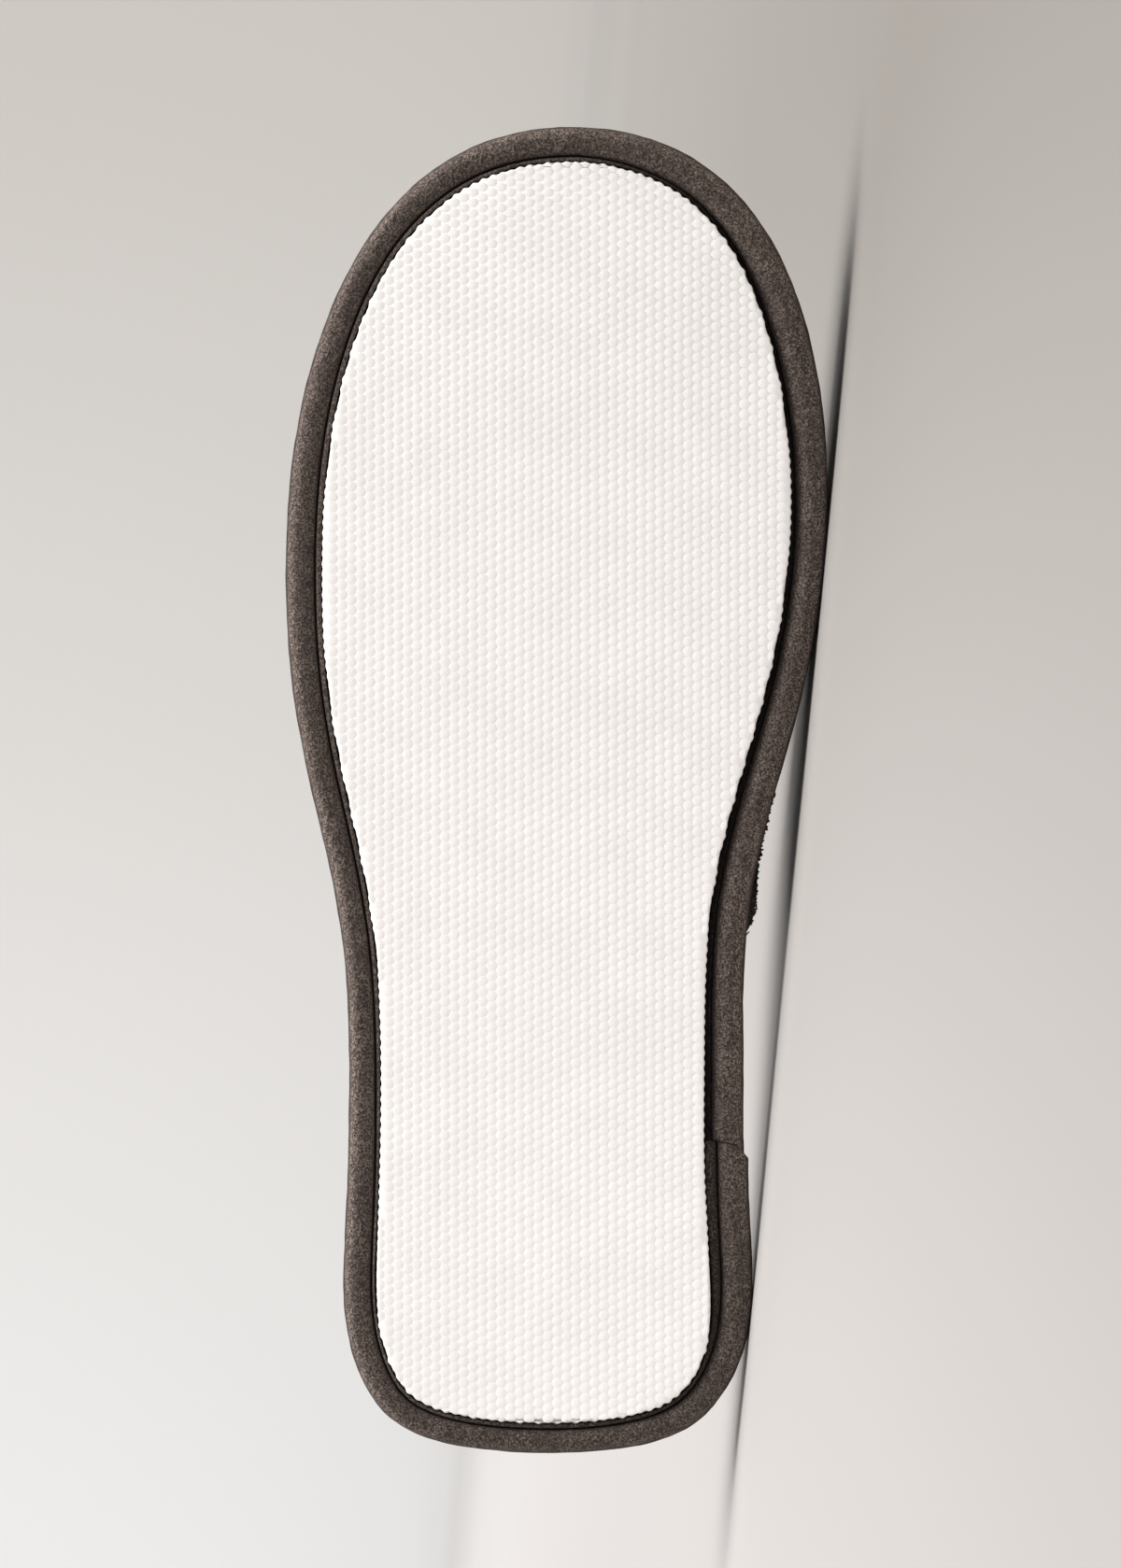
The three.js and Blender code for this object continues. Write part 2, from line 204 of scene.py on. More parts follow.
class Recipe:
    """A graph of nodes, for a finish or for Geometry Nodes."""

    def __init__(self, tree):
        self.tree = tree

    def feed(self, socket, value):
        if isinstance(value, Socket):
            self.tree.links.new(value.socket, socket)
        else:
            socket.default_value = value

    def node(self, kind, settings=None, inputs=(), output=0):
        node = self.tree.nodes.new(kind)
        for name, value in (settings or {}).items():
            setattr(node, name, value)
        for key, value in inputs.items() if isinstance(inputs, dict) else enumerate(inputs):
            self.feed(node.inputs[key], value)
        return Socket(self, node.outputs[output]) if node.outputs else node


# %% [markdown]
# ## Words for finishes
#
# Cloth and foam are described by the size of what shows on them, in millimetres, so the helpers take
# sizes and not texture scales. Everything reads Object coordinates or an attribute of the mesh.

# %% Colours, noise, flecks and relief
def tone(red, green, blue):
    """A colour as a picture shows it (0 to 255), in the light's own measure."""
    channels = np.array([red, green, blue]) / 255
    linear = np.where(channels < 0.04045, channels / 12.92, ((channels + 0.055) / 1.055) ** 2.4)
    return (*map(float, linear), 1.0)


class Finish(Recipe):
    """A material with one Principled surface."""

    def __init__(self, name, **shader):
        self.material = bpy.data.materials.new(name)
        self.material.use_nodes = True
        super().__init__(self.material.node_tree)
        self.tree.nodes.clear()
        surface = self.node("ShaderNodeBsdfPrincipled")
        self.surface = surface.socket.node
        self.wear(**shader)
        self.node("ShaderNodeOutputMaterial", {}, {"Surface": surface})
        self.place = self.node("ShaderNodeTexCoord", output="Object")

    def noise(self, size, detail=2.0, roughness=0.5, along=None):
        """Cloudy noise from 0 to 1 whose clouds are about size millimetres across."""
        inputs = {"Vector": along or self.place, "Scale": 1 / (size * MM), "Detail": detail,
                  "Roughness": roughness}
        return self.node("ShaderNodeTexNoise", {}, inputs)

    def between(self, value, low, high):
        """0 below low, 1 above high, and smooth between."""
        return self.node("ShaderNodeMapRange", {"interpolation_type": "SMOOTHSTEP"}, [value, low, high])

    def blend(self, first, second, share):
        inputs = {0: share, 6: first, 7: second}
        return self.node("ShaderNodeMix", {"data_type": "RGBA"}, inputs, 2)

    def relief(self, height, depth, below=None):
        """A bump of that depth in millimetres, over another one."""
        inputs = {"Height": height, "Distance": depth * MM, "Strength": 1.0}
        if below:
            inputs["Normal"] = below
        return self.node("ShaderNodeBump", {}, inputs)

    def wear(self, **inputs):
        for name, value in inputs.items():
            self.feed(self.surface.inputs[name.replace("_", " ")], value)
        return self.material


# %% [markdown]
# ## The finishes
#
# The sole is a sheet of white foam with a fine grain. The border, the binding and the seams are a
# brown cloth with a short nap: light and dark fibres lie side by side in flecks of about half a
# millimetre, which is what makes it look soft. On the border, painted shade darkens the cloth in its
# crevice and along the roll's outer wall, and painted light adds pale flecks low on the roll. The terry
# is the same yarn in loops, painted darker at their roots than at their tips as shade among the loops,
# and the vamp is lined with a plain weave.

# %% White foam of the sole
foam = Finish("tread_foam", Specular_IOR_Level=0.25)
foam_cloud = foam.noise(9, 3)
foam_grain = foam.noise(0.35, 3, 0.65)
foam.wear(
    Base_Color=foam.blend(tone(239, 236, 234), tone(243, 240, 238), foam.between(foam_cloud, 0.3, 0.7)),
    Roughness=0.55 + 0.2 * foam_grain,
    Normal=foam.relief(foam_grain, 0.05),
)


# %% Napped brown cloth
def napped_cloth(name, deep, dark, light):
    """Flecked cloth. The attribute read below is the share of the cloth's own colour against the deep tone,
    which is painted shade: 0 is full painted shade, as in a crevice, 1 is the cloth's own colour, and above 1
    painted light adds pale flecks.
    """
    cloth = Finish(name, Sheen_Weight=0.15, Sheen_Roughness=0.5, Sheen_Tint=tone(226, 205, 196),
                   Specular_IOR_Level=0.1)
    wear_and_painted_light = cloth.node("ShaderNodeAttribute", {"attribute_name": "wear_and_painted_light"}, output="Fac")
    fleck = cloth.between(cloth.noise(0.42, 3, 0.75), 0.42, 0.64)
    fibre = cloth.noise(0.22, 2, 0.7)
    clump = cloth.noise(1.5, 2, 0.6)
    patch = cloth.between(cloth.noise(6, 2), 0.35, 0.65)
    # Painted light: where the share passes 1, more pale flecks are painted in.
    painted_light_share = cloth.between(wear_and_painted_light, 1.0, 1.5)
    fleck_share = fleck * (0.5 + 0.5 * fibre) * (0.7 + 0.3 * patch)
    fleck_share = fleck_share * (0.35 + 1.2 * clump) * (1 + 0.9 * painted_light_share)
    nap = cloth.relief(fibre, 0.12, cloth.relief(clump, 0.9))
    cloth.wear(
        Base_Color=cloth.blend(deep, cloth.blend(dark, light, fleck_share), wear_and_painted_light),
        Roughness=0.98 - 0.1 * fibre,
        Normal=nap,
    )
    return cloth


# The deep tone (the first one) is painted shade, blended in where the share is below 1.
border_cloth = napped_cloth("border_cloth", tone(16, 13, 12), tone(57, 49, 46), tone(142, 129, 120))
binding_cloth = napped_cloth("binding_cloth", tone(16, 13, 12), tone(54, 46, 43), tone(128, 115, 107))

# %% Terry yarn, its ground cloth, the lining and the thread
def looped_yarn(name, root, dark_tip, pale_tip):
    """Yarn painted darker at the roots of its loops, as shade among the loops; the attribute rise is 0 there
    and 1 at the tips.
    """
    yarn = Finish(name, Sheen_Weight=0.3, Sheen_Roughness=0.5, Specular_IOR_Level=0.2)
    rise = yarn.node("ShaderNodeAttribute", {"attribute_name": "rise"}, output="Fac")
    shade = yarn.noise(1.6, 2, 0.6)
    yarn.wear(
        Base_Color=yarn.blend(root, yarn.blend(dark_tip, pale_tip, yarn.between(shade, 0.3, 0.7)), rise),
        Roughness=0.9 + 0.1 * shade,
        Normal=yarn.relief(yarn.noise(0.16, 2, 0.7), 0.06),
    )
    return yarn


# The root tone is painted shade among the loops; the two tip tones are the yarn's own colour.
terry_yarn = looped_yarn("terry_yarn", tone(34, 29, 27), tone(92, 82, 76), tone(134, 122, 113))
# A paler yarn, painted light, for the long loops at the inner rear corner, which lie in the roll's shadow.
rubbed_yarn = looped_yarn("rubbed_yarn", tone(74, 65, 60), tone(136, 123, 114), tone(180, 166, 155))

terry_ground = Finish("terry_ground", Roughness=1.0, Sheen_Weight=0.2, Specular_IOR_Level=0.15)
root = terry_ground.noise(0.9, 3, 0.65)
terry_ground.wear(
    Base_Color=terry_ground.blend(tone(40, 34, 31), tone(88, 79, 72),
                                  terry_ground.between(root, 0.35, 0.7)),
    Normal=terry_ground.relief(root, 0.6),
)

lining = Finish("plain_lining", Roughness=0.95, Sheen_Weight=0.15, Specular_IOR_Level=0.2)
cloth_map = lining.node("ShaderNodeUVMap", {"uv_map": "cloth"})
warp = lining.node("ShaderNodeTexWave", {"bands_direction": "X"}, {"Vector": cloth_map, "Scale": 300.0})
weft = lining.node("ShaderNodeTexWave", {"bands_direction": "Y"}, {"Vector": cloth_map, "Scale": 300.0})
weave = warp * 0.5 + weft * 0.5
lining.wear(
    Base_Color=lining.blend(tone(58, 50, 46), tone(84, 74, 68), weave * 0.7 + 0.3 * lining.noise(2, 2)),
    Normal=lining.relief(weave, 0.12),
)

thread = Finish("thread", Roughness=0.6, Sheen_Weight=0.2)
thread_shade = thread.noise(0.5, 2)
thread.wear(
    Base_Color=thread.blend(tone(62, 54, 49), tone(96, 86, 79), thread_shade),
    Normal=thread.relief(thread.noise(0.2, 2), 0.05),
)
print(len(bpy.data.materials), "finishes")

# %% [markdown]
# ## Meshes from rows of points
#
# Most pieces are lofts: rows of points, each a little further along the section than the last. Rows
# that go right round close on themselves, and a lid made of rungs closes an end. The signed volume
# says whether the faces point outwards, and turns them if they don't.

# %% Lofts, lids and pieces
def loft_faces(rows, columns, lids=()):
    """Quads between closed rows of a loft, as an array of corners, with ladders over the rows in lids."""
    row, column = np.meshgrid(np.arange(rows - 1), np.arange(columns), indexing="ij")
    right = (column + 1) % columns
    a, b = row * columns + column, row * columns + right
    faces = np.stack([a, a + columns, b + columns, b], -1).reshape(-1, 4)
    for lid in lids:
        half = columns // 2
        k = np.arange(1, half - 1)
        rungs = np.stack([k, k + 1, columns - k - 1, columns - k], -1)
        tips = np.array([[0, 1, columns - 1, columns - 1], [half - 1, half, half + 1, half + 1]])
        ladder = lid * columns + np.concatenate([rungs, tips])
        faces = np.concatenate([faces, ladder if lid == 0 else ladder[:, ::-1]])
    return faces


def read(items, field, width=1, kind=float):
    """A field of a mesh's points, corners or faces, as an array with that many columns."""
    values = np.zeros(width * len(items), kind)
    items.foreach_get(field, values)
    return values.reshape(-1, width) if width > 1 else values


def points_of(made):
    return read(made.data.vertices, "co", 3)


def set_points(made, places):
    made.data.vertices.foreach_set("co", np.asarray(places, np.float32).ravel())
    made.data.update()


def note(mesh, label, values):
    """Keeps a value for each point of a mesh, under that label."""
    layer = mesh.attributes.new(label, "FLOAT", "POINT")
    layer.data.foreach_set("value", np.asarray(values, np.float32).ravel())


def mesh_object(name, points, faces=(), edges=()):
    """A mesh in the model's metres, from points in the slipper's millimetres."""
    polygons = [list(dict.fromkeys(face)) for face in np.asarray(faces).tolist()]
    mesh = bpy.data.meshes.new(name)
    places = laid_down(np.asarray(points).reshape(-1, 3))
    mesh.from_pydata(places.tolist(), list(edges), [face for face in polygons if len(face) > 2])
    made = bpy.data.objects.new(name, mesh)
    bpy.context.scene.collection.objects.link(made)
    return made


def turn_outwards(made):
    """Turns every face round if the closed mesh holds a negative volume."""
    made.data.calc_loop_triangles()
    corners = read(made.data.loop_triangles, "vertices", 3, int)
    a, b, c = points_of(made)[corners].transpose(1, 0, 2)
    if np.einsum("ij,ij->", a, np.cross(b, c)) < 0:
        made.data.flip_normals()


def hand_over(made, node=None):
    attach(made, "root")
    if node:
        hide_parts(node)
    triangles = sum(len(face.vertices) - 2 for face in made.data.polygons)
    print(made.name, len(made.data.vertices), "points,", triangles, "triangles")


def make_piece(name, points, faces, finish, node=None, wear_and_painted_light=None, cloth=None):
    """A finished piece, with a share for each point of wear and of painted shade and light, and a map of its
    cloth where given.
    """
    made = mesh_object(name, points, faces)
    mesh = made.data
    mesh.validate()
    if cloth is not None:
        corners = read(mesh.loops, "vertex_index", kind=int)
        layer = mesh.uv_layers.new(name="cloth")
        layer.data.foreach_set("uv", (np.asarray(cloth).reshape(-1, 2) * MM)[corners].ravel())
    if wear_and_painted_light is not None:
        note(mesh, "wear_and_painted_light", wear_and_painted_light)
    mesh.shade_smooth()
    mesh.materials.append(finish.material)
    turn_outwards(made)
    hand_over(made, node)


# %% [markdown]
# ## The dotted sole
#
# The sheet is cut from foam that is moulded with small round dots in staggered columns, 2.1 mm apart
# along the foot and 1.9 mm across. Its edge was cut through the dots, so it is slightly scalloped. The
# sheet itself is a loft of three rings. The dots are one dome, repeated by Geometry Nodes on a mesh
# that holds only their places.

# %% The sheet
OUTSOLE_THICKNESS = 2.2
DOT_PITCH, DOT_COLUMNS_APART = 2.09, 1.9
DOT_HEIGHT, DOT_RADIUS = 0.07, 1.17
SHEET_FACE = 0.06
SCALLOP = 0.5

# Round the slipper in degrees from the heel by the inner side, in millimetres in from its outermost
# line: where the sole starts and where the roll's crevice lies. Then how high above the tread the lip
# beside the sole is, and how much of the cloth's own colour shows there, the rest being painted shade.
BORDER = {
    "turn": [0, 22, 42, 60, 75, 105, 140, 165, 180, 215, 250, 285, 320, 360],
    "sole": [6.15, 6.7, 7.85, 7.9, 7.7, 7.2, 7.95, 7.7, 7.25, 6.65, 7.35, 6.45, 6.55, 6.15],
    "crevice": [4.7, 5.4, 6.2, 6.4, 6.3, 6.1, 7.2, 6.5, 5.9, 5.2, 5.75, 5.1, 5.5, 4.7],
    "lip": [1.5, 1.9, 2.2, 2.6, 2.8, 3.2, 3.0, 2.2, 1.6, 1.1, 1.0, 1.3, 1.0, 1.5],
    "wear_and_painted_light": [0.8, 0.8, 0.85, 0.95, 1.0, 1.0, 1.0, 0.9, 0.85, 0.8, 0.8, 0.85, 0.85, 0.8],
}


def read_border(column, turn):
    """A smooth closed curve through a column of the border's table."""
    at = np.degrees(turn) % 360
    rows, values = np.array(BORDER["turn"]), np.array(BORDER[column])
    k = np.clip(np.searchsorted(rows, at, side="right") - 1, 0, len(rows) - 2)
    return mix(values[k], values[k + 1], eased(rows[k], rows[k + 1], at))


def dot_wave(x, y):
    """1 on the middle of a dot and -1 between dots."""
    across = np.pi * y / DOT_COLUMNS_APART
    return np.cos(2 * np.pi * x / DOT_PITCH) * np.cos(across) * 0.5 + np.cos(2 * across) * 0.5


def ring(turns, depth, height):
    """A row round the whole slipper, inset from the border's outermost line."""
    flat = inset(turns, depth)
    return np.column_stack([flat, height + spring_at(flat[:, 0])])


SOLE_COLUMNS = 1800
sole_turns = np.linspace(0, 2 * np.pi, SOLE_COLUMNS, endpoint=False)
sole_edge = read_border("sole", sole_turns)
edge = inset(sole_turns, sole_edge)
scallop = SCALLOP * 0.5 * (1 - dot_wave(edge[:, 0], edge[:, 1]))
sole_rings = [
    ring(sole_turns, sole_edge + scallop + 0.35, SHEET_FACE),
    ring(sole_turns, sole_edge + scallop + 0.08, SHEET_FACE + 0.08),
    ring(sole_turns, sole_edge + scallop, SHEET_FACE + 0.35),
    ring(sole_turns, sole_edge + scallop, np.full(SOLE_COLUMNS, OUTSOLE_THICKNESS)),
]
sheet_faces = loft_faces(len(sole_rings), SOLE_COLUMNS, lids=(0, len(sole_rings) - 1))
make_piece("tread_sheet", sole_rings, sheet_faces, foam, "outsole")


# %% [markdown]
# ### Geometry Nodes from the same recipe
#
# A tree gets its named sizes as inputs. The modifier's inputs are set by the sockets' identifiers
# before the object is first looked at, and the result is turned into a plain mesh at once, so no
# modifier is left on the piece.

# %% A tree with named inputs, and a mesh grown by it
class Growth(Recipe):
    """Geometry Nodes that grow something on the mesh they get."""

    def __init__(self, name, **sizes):
        super().__init__(bpy.data.node_groups.new(name, "GeometryNodeTree"))
        self.tree.interface.new_socket("Geometry", in_out="INPUT", socket_type="NodeSocketGeometry")
        for label, size in sizes.items():
            kind = "NodeSocketInt" if isinstance(size, int) else "NodeSocketFloat"
            made = self.tree.interface.new_socket(label, in_out="INPUT", socket_type=kind)
            made.default_value = size
        self.tree.interface.new_socket("Geometry", in_out="OUTPUT", socket_type="NodeSocketGeometry")
        self.start = self.tree.nodes.new("NodeGroupInput")
        self.sizes = sizes

    def size(self, label):
        return Socket(self, self.start.outputs[label])

    def finish_with(self, instances, finish):
        real = self.node("GeometryNodeRealizeInstances", {}, [instances])
        inputs = {"Geometry": real, "Material": finish.material}
        painted = self.node("GeometryNodeSetMaterial", {}, inputs)
        self.tree.links.new(painted.socket, self.tree.nodes.new("NodeGroupOutput").inputs[0])

    def grow(self, name, ground, **changes):
        """A plain mesh object: what this tree grows on the object called ground."""
        modifier = ground.modifiers.new("growth", "NODES")
        modifier.node_group = self.tree
        for item in self.tree.interface.items_tree:
            if item.name in self.sizes and item.in_out == "INPUT":
                modifier[item.identifier] = changes.get(item.name, self.sizes[item.name])
        bpy.context.view_layer.update()
        evaluated = ground.evaluated_get(bpy.context.evaluated_depsgraph_get())
        mesh = bpy.data.meshes.new_from_object(evaluated)
        mesh.name = name
        ground.modifiers.remove(modifier)
        mesh.shade_smooth()
        grown = bpy.data.objects.new(name, mesh)
        bpy.context.scene.collection.objects.link(grown)
        return grown


# %% The dots
EDGE_LINE = inset(sole_turns, sole_edge + scallop + 0.12)
EDGE_OUT = outward_at(sole_turns)
edge_tree = kdtree.KDTree(SOLE_COLUMNS)
for k, (x, y) in enumerate(EDGE_LINE):
    edge_tree.insert((x, y, 0), k)
edge_tree.balance()


def past_edge(x, y):
    """How far a place is outside the cut edge of the sheet, and which way is out."""
    k = edge_tree.find((x, y, 0))[1]
    return float(np.dot((x - EDGE_LINE[k][0], y - EDGE_LINE[k][1]), EDGE_OUT[k])), EDGE_OUT[k]


lattice = []
for column in range(-30, 31):
    for step in range(131):
        x = (step + 0.5 * (column % 2)) * DOT_PITCH
        y = column * DOT_COLUMNS_APART
        if past_edge(x, y)[0] < -0.15:
            lattice.append((x, y, SHEET_FACE + spring_at(x)))

dots = Growth("dots", Radius=DOT_RADIUS * MM, Height=DOT_HEIGHT * MM)
ball = dots.node("GeometryNodeMeshUVSphere", {}, {"Segments": 8, "Rings": 4, "Radius": 1.0})
ball_height = dots.node("ShaderNodeSeparateXYZ", {}, [dots.node("GeometryNodeInputPosition")], "Z")
lower_half = dots.node("FunctionNodeCompare", {"operation": "LESS_THAN"}, {"A": ball_height, "B": -0.01})
dome = dots.node("GeometryNodeDeleteGeometry", {}, {"Geometry": ball, "Selection": lower_half})
radius = dots.size("Radius")
dots.finish_with(dots.node("GeometryNodeInstanceOnPoints", {}, {
    "Points": dots.size("Geometry"),
    "Instance": dome,
    "Rotation": out_of_sole.to_track_quat("Z", "Y").to_euler(),
    "Scale": dots.node("ShaderNodeCombineXYZ", {}, [radius, radius, dots.size("Height")]),
}), foam)
dot_places = mesh_object("dot_places", lattice)
tread_dots = dots.grow("tread_dots", dot_places)
bpy.data.objects.remove(dot_places)


def stood_up(places):
    """Points of the lying slipper, in metres, back in the standing slipper's millimetres."""
    return (np.asarray(places) - ORIGIN) * 1000 @ AXES.T


trimmed = stood_up(points_of(tread_dots))
for point in trimmed:
    beyond, way_out = past_edge(point[0], point[1])
    if beyond > 0:
        point[:2] -= beyond * way_out
set_points(tread_dots, laid_down(trimmed))
hand_over(tread_dots)
print(len(lattice), "dots")

# %% [markdown]
# ## The rolled border
#
# The platform is wrapped in brown cloth that is turned over a soft edge, so from below it shows as a
# roll, with a narrow lip and a crevice beside the sole. The strip's end is lapped on the inner side
# near the heel: it is one cloth thicker there, its lip is wider, and its corner is rounded. The
# section is a table of rings from the recess over the outsole round to the top, each with its depth
# from the border's outermost line and its height. Small puckers come from a sum of waves with no
# common period, as hand-turned cloth has.

# %% The roll's section
GAP = 0.3
ROUNDNESS = 2.3
PLATFORM_HEIGHT, PLATFORM_ROUND = 12.0, 4.2
ROLL_LOWEST, ROLL_WIDEST = 0.7, 5.0
CREVICE_WIDTH, CREVICE_FLOOR = 0.55, 3.4
LAP_THICKNESS, LAP_FROM_HEEL, LAP_FADE = 0.9, 62.2, (8.0, 56.0)
LAP_SLANT, LAP_CORNER = 0.23, 2.2
LAPPED_CREVICE = 5.3

def quarter_round(angle):
    power = 2 / ROUNDNESS
    return 1 - np.abs(np.cos(angle)) ** power, np.abs(np.sin(angle)) ** power


def behind_lap_end(turn, depth):
    """How far towards the heel from the lap's end, which slants and has a rounded outer corner."""
    corner = LAP_CORNER * np.maximum(0, 1 - depth / LAP_CORNER) ** 2
    return np.where(np.sin(turn) > 0, LAP_FROM_HEEL + LAP_SLANT * depth - corner - along_at(turn), -99)


def lap_share(turn, depth):
    """1 on the lapped strip, less towards the heel, 0 elsewhere."""
    return eased(-0.15, 0.15, behind_lap_end(turn, depth)) * eased(*LAP_FADE, along_at(turn))


def puckers(turn, across):
    """The small unevenness of turned cloth, in millimetres."""
    slow = np.sin(37 * turn + 1.3 * across) * 0.5 + np.sin(61 * turn + 2 - 0.9 * across) * 0.3
    quick = np.sin(113 * turn + 1.7 * across + 1) * 0.25 + np.sin(171 * turn - 2.2 * across) * 0.15
    return 0.07 * (slow + quick)


def even_turns(count):
    """Turns spaced evenly along the border, and closer together at the lap's end."""
    fine = np.linspace(0, 2 * np.pi, 7201)
    travelled = np.concatenate([[0], np.cumsum(np.linalg.norm(np.diff(outline(fine), axis=0), axis=1))])
    even = np.interp(np.linspace(0, travelled[-1], count, endpoint=False), travelled, fine)
    lap_end = float(turn_at(LAP_FROM_HEEL))
    return np.sort(np.concatenate([even, lap_end + np.linspace(-2.6, 1.9, 31) / LENGTH * 2.4]))


roll_turns = even_turns(900)
ROLL_COLUMNS = len(roll_turns)
recess = read_border("sole", roll_turns) - 0.1
lapped = lap_share(roll_turns, 6.0)
crevice = mix(read_border("crevice", roll_turns), LAPPED_CREVICE, lapped)
lip_height = mix(read_border("lip", roll_turns), 1.9, lapped)
lip = crevice + CREVICE_WIDTH
lowest = 0.56 * crevice

section = [(recess, OUTSOLE_THICKNESS + 1.2), (recess, lip_height + 0.25), (recess - 0.2, lip_height)]
section += [(mix(recess, lip, 0.5), lip_height - 0.05), (lip + 0.2, lip_height + 0.05)]
section += [(lip, lip_height + 0.3), (mix(lip, crevice, 0.35), np.full(ROLL_COLUMNS, CREVICE_FLOOR))]
section += [(mix(lip, crevice, 0.65), np.full(ROLL_COLUMNS, CREVICE_FLOOR))]
brow = mix(lip_height, CREVICE_FLOOR, 0.4)
for angle in np.radians(np.linspace(90, 0, 12)):
    section.append((mix(lowest, crevice, np.sin(angle)), mix(ROLL_LOWEST, brow, 1 - np.cos(angle))))
for angle in np.radians(np.linspace(84, 0, 15)):
    run, climb = quarter_round(angle)
    section.append((lowest * run, mix(ROLL_WIDEST, ROLL_LOWEST, climb)))
for angle in np.radians(np.linspace(6, 90, 15)):
    run, climb = quarter_round(angle)
    section.append((np.full(ROLL_COLUMNS, PLATFORM_ROUND * run), mix(ROLL_WIDEST, PLATFORM_HEIGHT, climb)))
section.append((np.full(ROLL_COLUMNS, 9.0), PLATFORM_HEIGHT))

# %% The roll, swept round the slipper
INNER_FACE, OUTER_FACE = 9, 20  # the rings of the section where the roll starts and where it turns outwards

rings, wear_and_painted_light = [], []
for k, (depth, height) in enumerate(section):
    outer_share = np.clip(1 - depth / (1.2 * PLATFORM_ROUND), 0, 1)
    thicker = LAP_THICKNESS * lap_share(roll_turns, depth) * outer_share
    uneven = puckers(roll_turns, k * 0.35) if INNER_FACE <= k < len(section) - 2 else 0
    rings.append(ring(roll_turns, depth - thicker - uneven, np.zeros(ROLL_COLUMNS) + height))
    # Painted shade: the cloth in the crevice and on a high lip beside the sole is darkened towards the deep
    # tone.
    crevice_shade = eased(1.3, 2.7, height) * eased(0.75 * crevice, 0.95 * crevice, depth)
    outside = k > OUTER_FACE
    # Painted shade: a dark band along the roll's outer wall, where it turns away from the light.
    outer_wall_shade = 0.85 * eased(2.0, 3.3, height) * (1 - 0.8 * eased(5.5, 8, height)) * outside
    # Painted light: paler flecks on the roll's lowest band outside, to lift a slope that lies in shade.
    painted_shoulder_light = 1 + 0.45 * eased(0.7, 1.2, height) * outside
    seam_line = 0.85 * np.exp(-(((behind_lap_end(roll_turns, depth) + 0.2) / 0.28) ** 2))
    wear_and_painted_light.append(read_border("wear_and_painted_light", roll_turns) * painted_shoulder_light
                  * (1 - crevice_shade) * (1 - outer_wall_shade) * (1 - seam_line))
roll_faces = loft_faces(len(rings), ROLL_COLUMNS, lids=(0, len(rings) - 1))
make_piece("platform_roll", rings, roll_faces, border_cloth, "midsole", wear_and_painted_light)

# %% [markdown]
# ## The footbed
#
# The foot stands on a thin foam pad covered with terry. It is a padded piece, so its top is made by a
# cloth simulation: the cover is blown up a little from inside, while its underside and its seam stay
# where they are. No point may move further than a cap, and one subdivision smooths the result.

# %% The cover before it is filled
SEAT = PLATFORM_HEIGHT + GAP
SEAM_INSET, WALL = 2.7, 3.0
REAR_CORNER_FROM_HEEL = 104.0
FOOTBED_THICKNESS, FOOTBED_CUP, FOOTBED_EDGE_ROUND = 4.2, 1.0, 1.6
FOOTBED_CLEARANCE, FOOTBED_PINCH, FOOTBED_PINCH_REACH, FOOTBED_UNDERCUT = 0.5, 1.3, 11.0, 0.8
HOLLOW_FROM_HEEL, HOLLOW_FROM_TOE = 42.0, 48.0
FOOTBED_PILE = 0.9
FOOTBED_COLUMNS = 220

bed_turns = np.linspace(0, 2 * np.pi, FOOTBED_COLUMNS, endpoint=False)
past_corner = (along_at(bed_turns) - REAR_CORNER_FROM_HEEL) / FOOTBED_PINCH_REACH
bed_edge = SEAM_INSET + WALL + FOOTBED_CLEARANCE + FOOTBED_PINCH * np.exp(-past_corner**2) + 0.5
bed_top = SEAT + FOOTBED_THICKNESS - FOOTBED_PILE
bed_rings = [ring(bed_turns, bed_edge + FOOTBED_UNDERCUT, np.full(FOOTBED_COLUMNS, SEAT))]
bed_rings.append(ring(bed_turns, bed_edge, np.full(FOOTBED_COLUMNS, SEAT + FOOTBED_UNDERCUT)))
for angle in np.radians(np.linspace(0, 90, 6)):
    run, climb = quarter_round(angle)
    height = bed_top - FOOTBED_EDGE_ROUND * (1 - climb)
    bed_rings.append(ring(bed_turns, bed_edge + FOOTBED_EDGE_ROUND * run, np.full(FOOTBED_COLUMNS, height)))
rim = bed_rings[-1]
bed_middle = mix(HOLLOW_FROM_HEEL, LENGTH - HOLLOW_FROM_TOE, along_at(bed_turns) / LENGTH)
for inward in np.linspace(0.06, 0.96, 16):
    x, y = mix(rim[:, 0], bed_middle, inward), mix(rim[:, 1], swing_at(bed_turns), inward)
    bed_rings.append(np.column_stack([x, y, bed_top - FOOTBED_CUP * eased(0, 0.7, inward) + spring_at(x)]))
bed_row = np.repeat(np.arange(len(bed_rings)), FOOTBED_COLUMNS)

bed_faces = loft_faces(len(bed_rings), FOOTBED_COLUMNS, lids=(0, len(bed_rings) - 1))
footbed = mesh_object("footbed", bed_rings, bed_faces)
turn_outwards(footbed)

# %% Filling the cover
FILL_CAP = 0.7 * MM
FILL_FRAMES = 20

pinned = footbed.vertex_groups.new(name="seam")
pinned.add(np.flatnonzero(bed_row < 6).tolist(), 1.0, "REPLACE")
cloth = footbed.modifiers.new("fill", "CLOTH")
cloth.settings.use_pressure = True
cloth.settings.uniform_pressure_force = 4.0
cloth.settings.vertex_group_mass = "seam"
cloth.settings.effector_weights.gravity = 0.0
cloth.settings.tension_stiffness = cloth.settings.compression_stiffness = 15.0
before = points_of(footbed)
for step in range(1, FILL_FRAMES + 1):
    bpy.context.scene.frame_set(step)
moved = points_of(footbed.evaluated_get(bpy.context.evaluated_depsgraph_get())) - before
reach = np.linalg.norm(moved, axis=1, keepdims=True)
capped = before + moved * np.minimum(1, FILL_CAP / np.maximum(reach, 1e-9))
footbed.modifiers.remove(cloth)
set_points(footbed, capped)
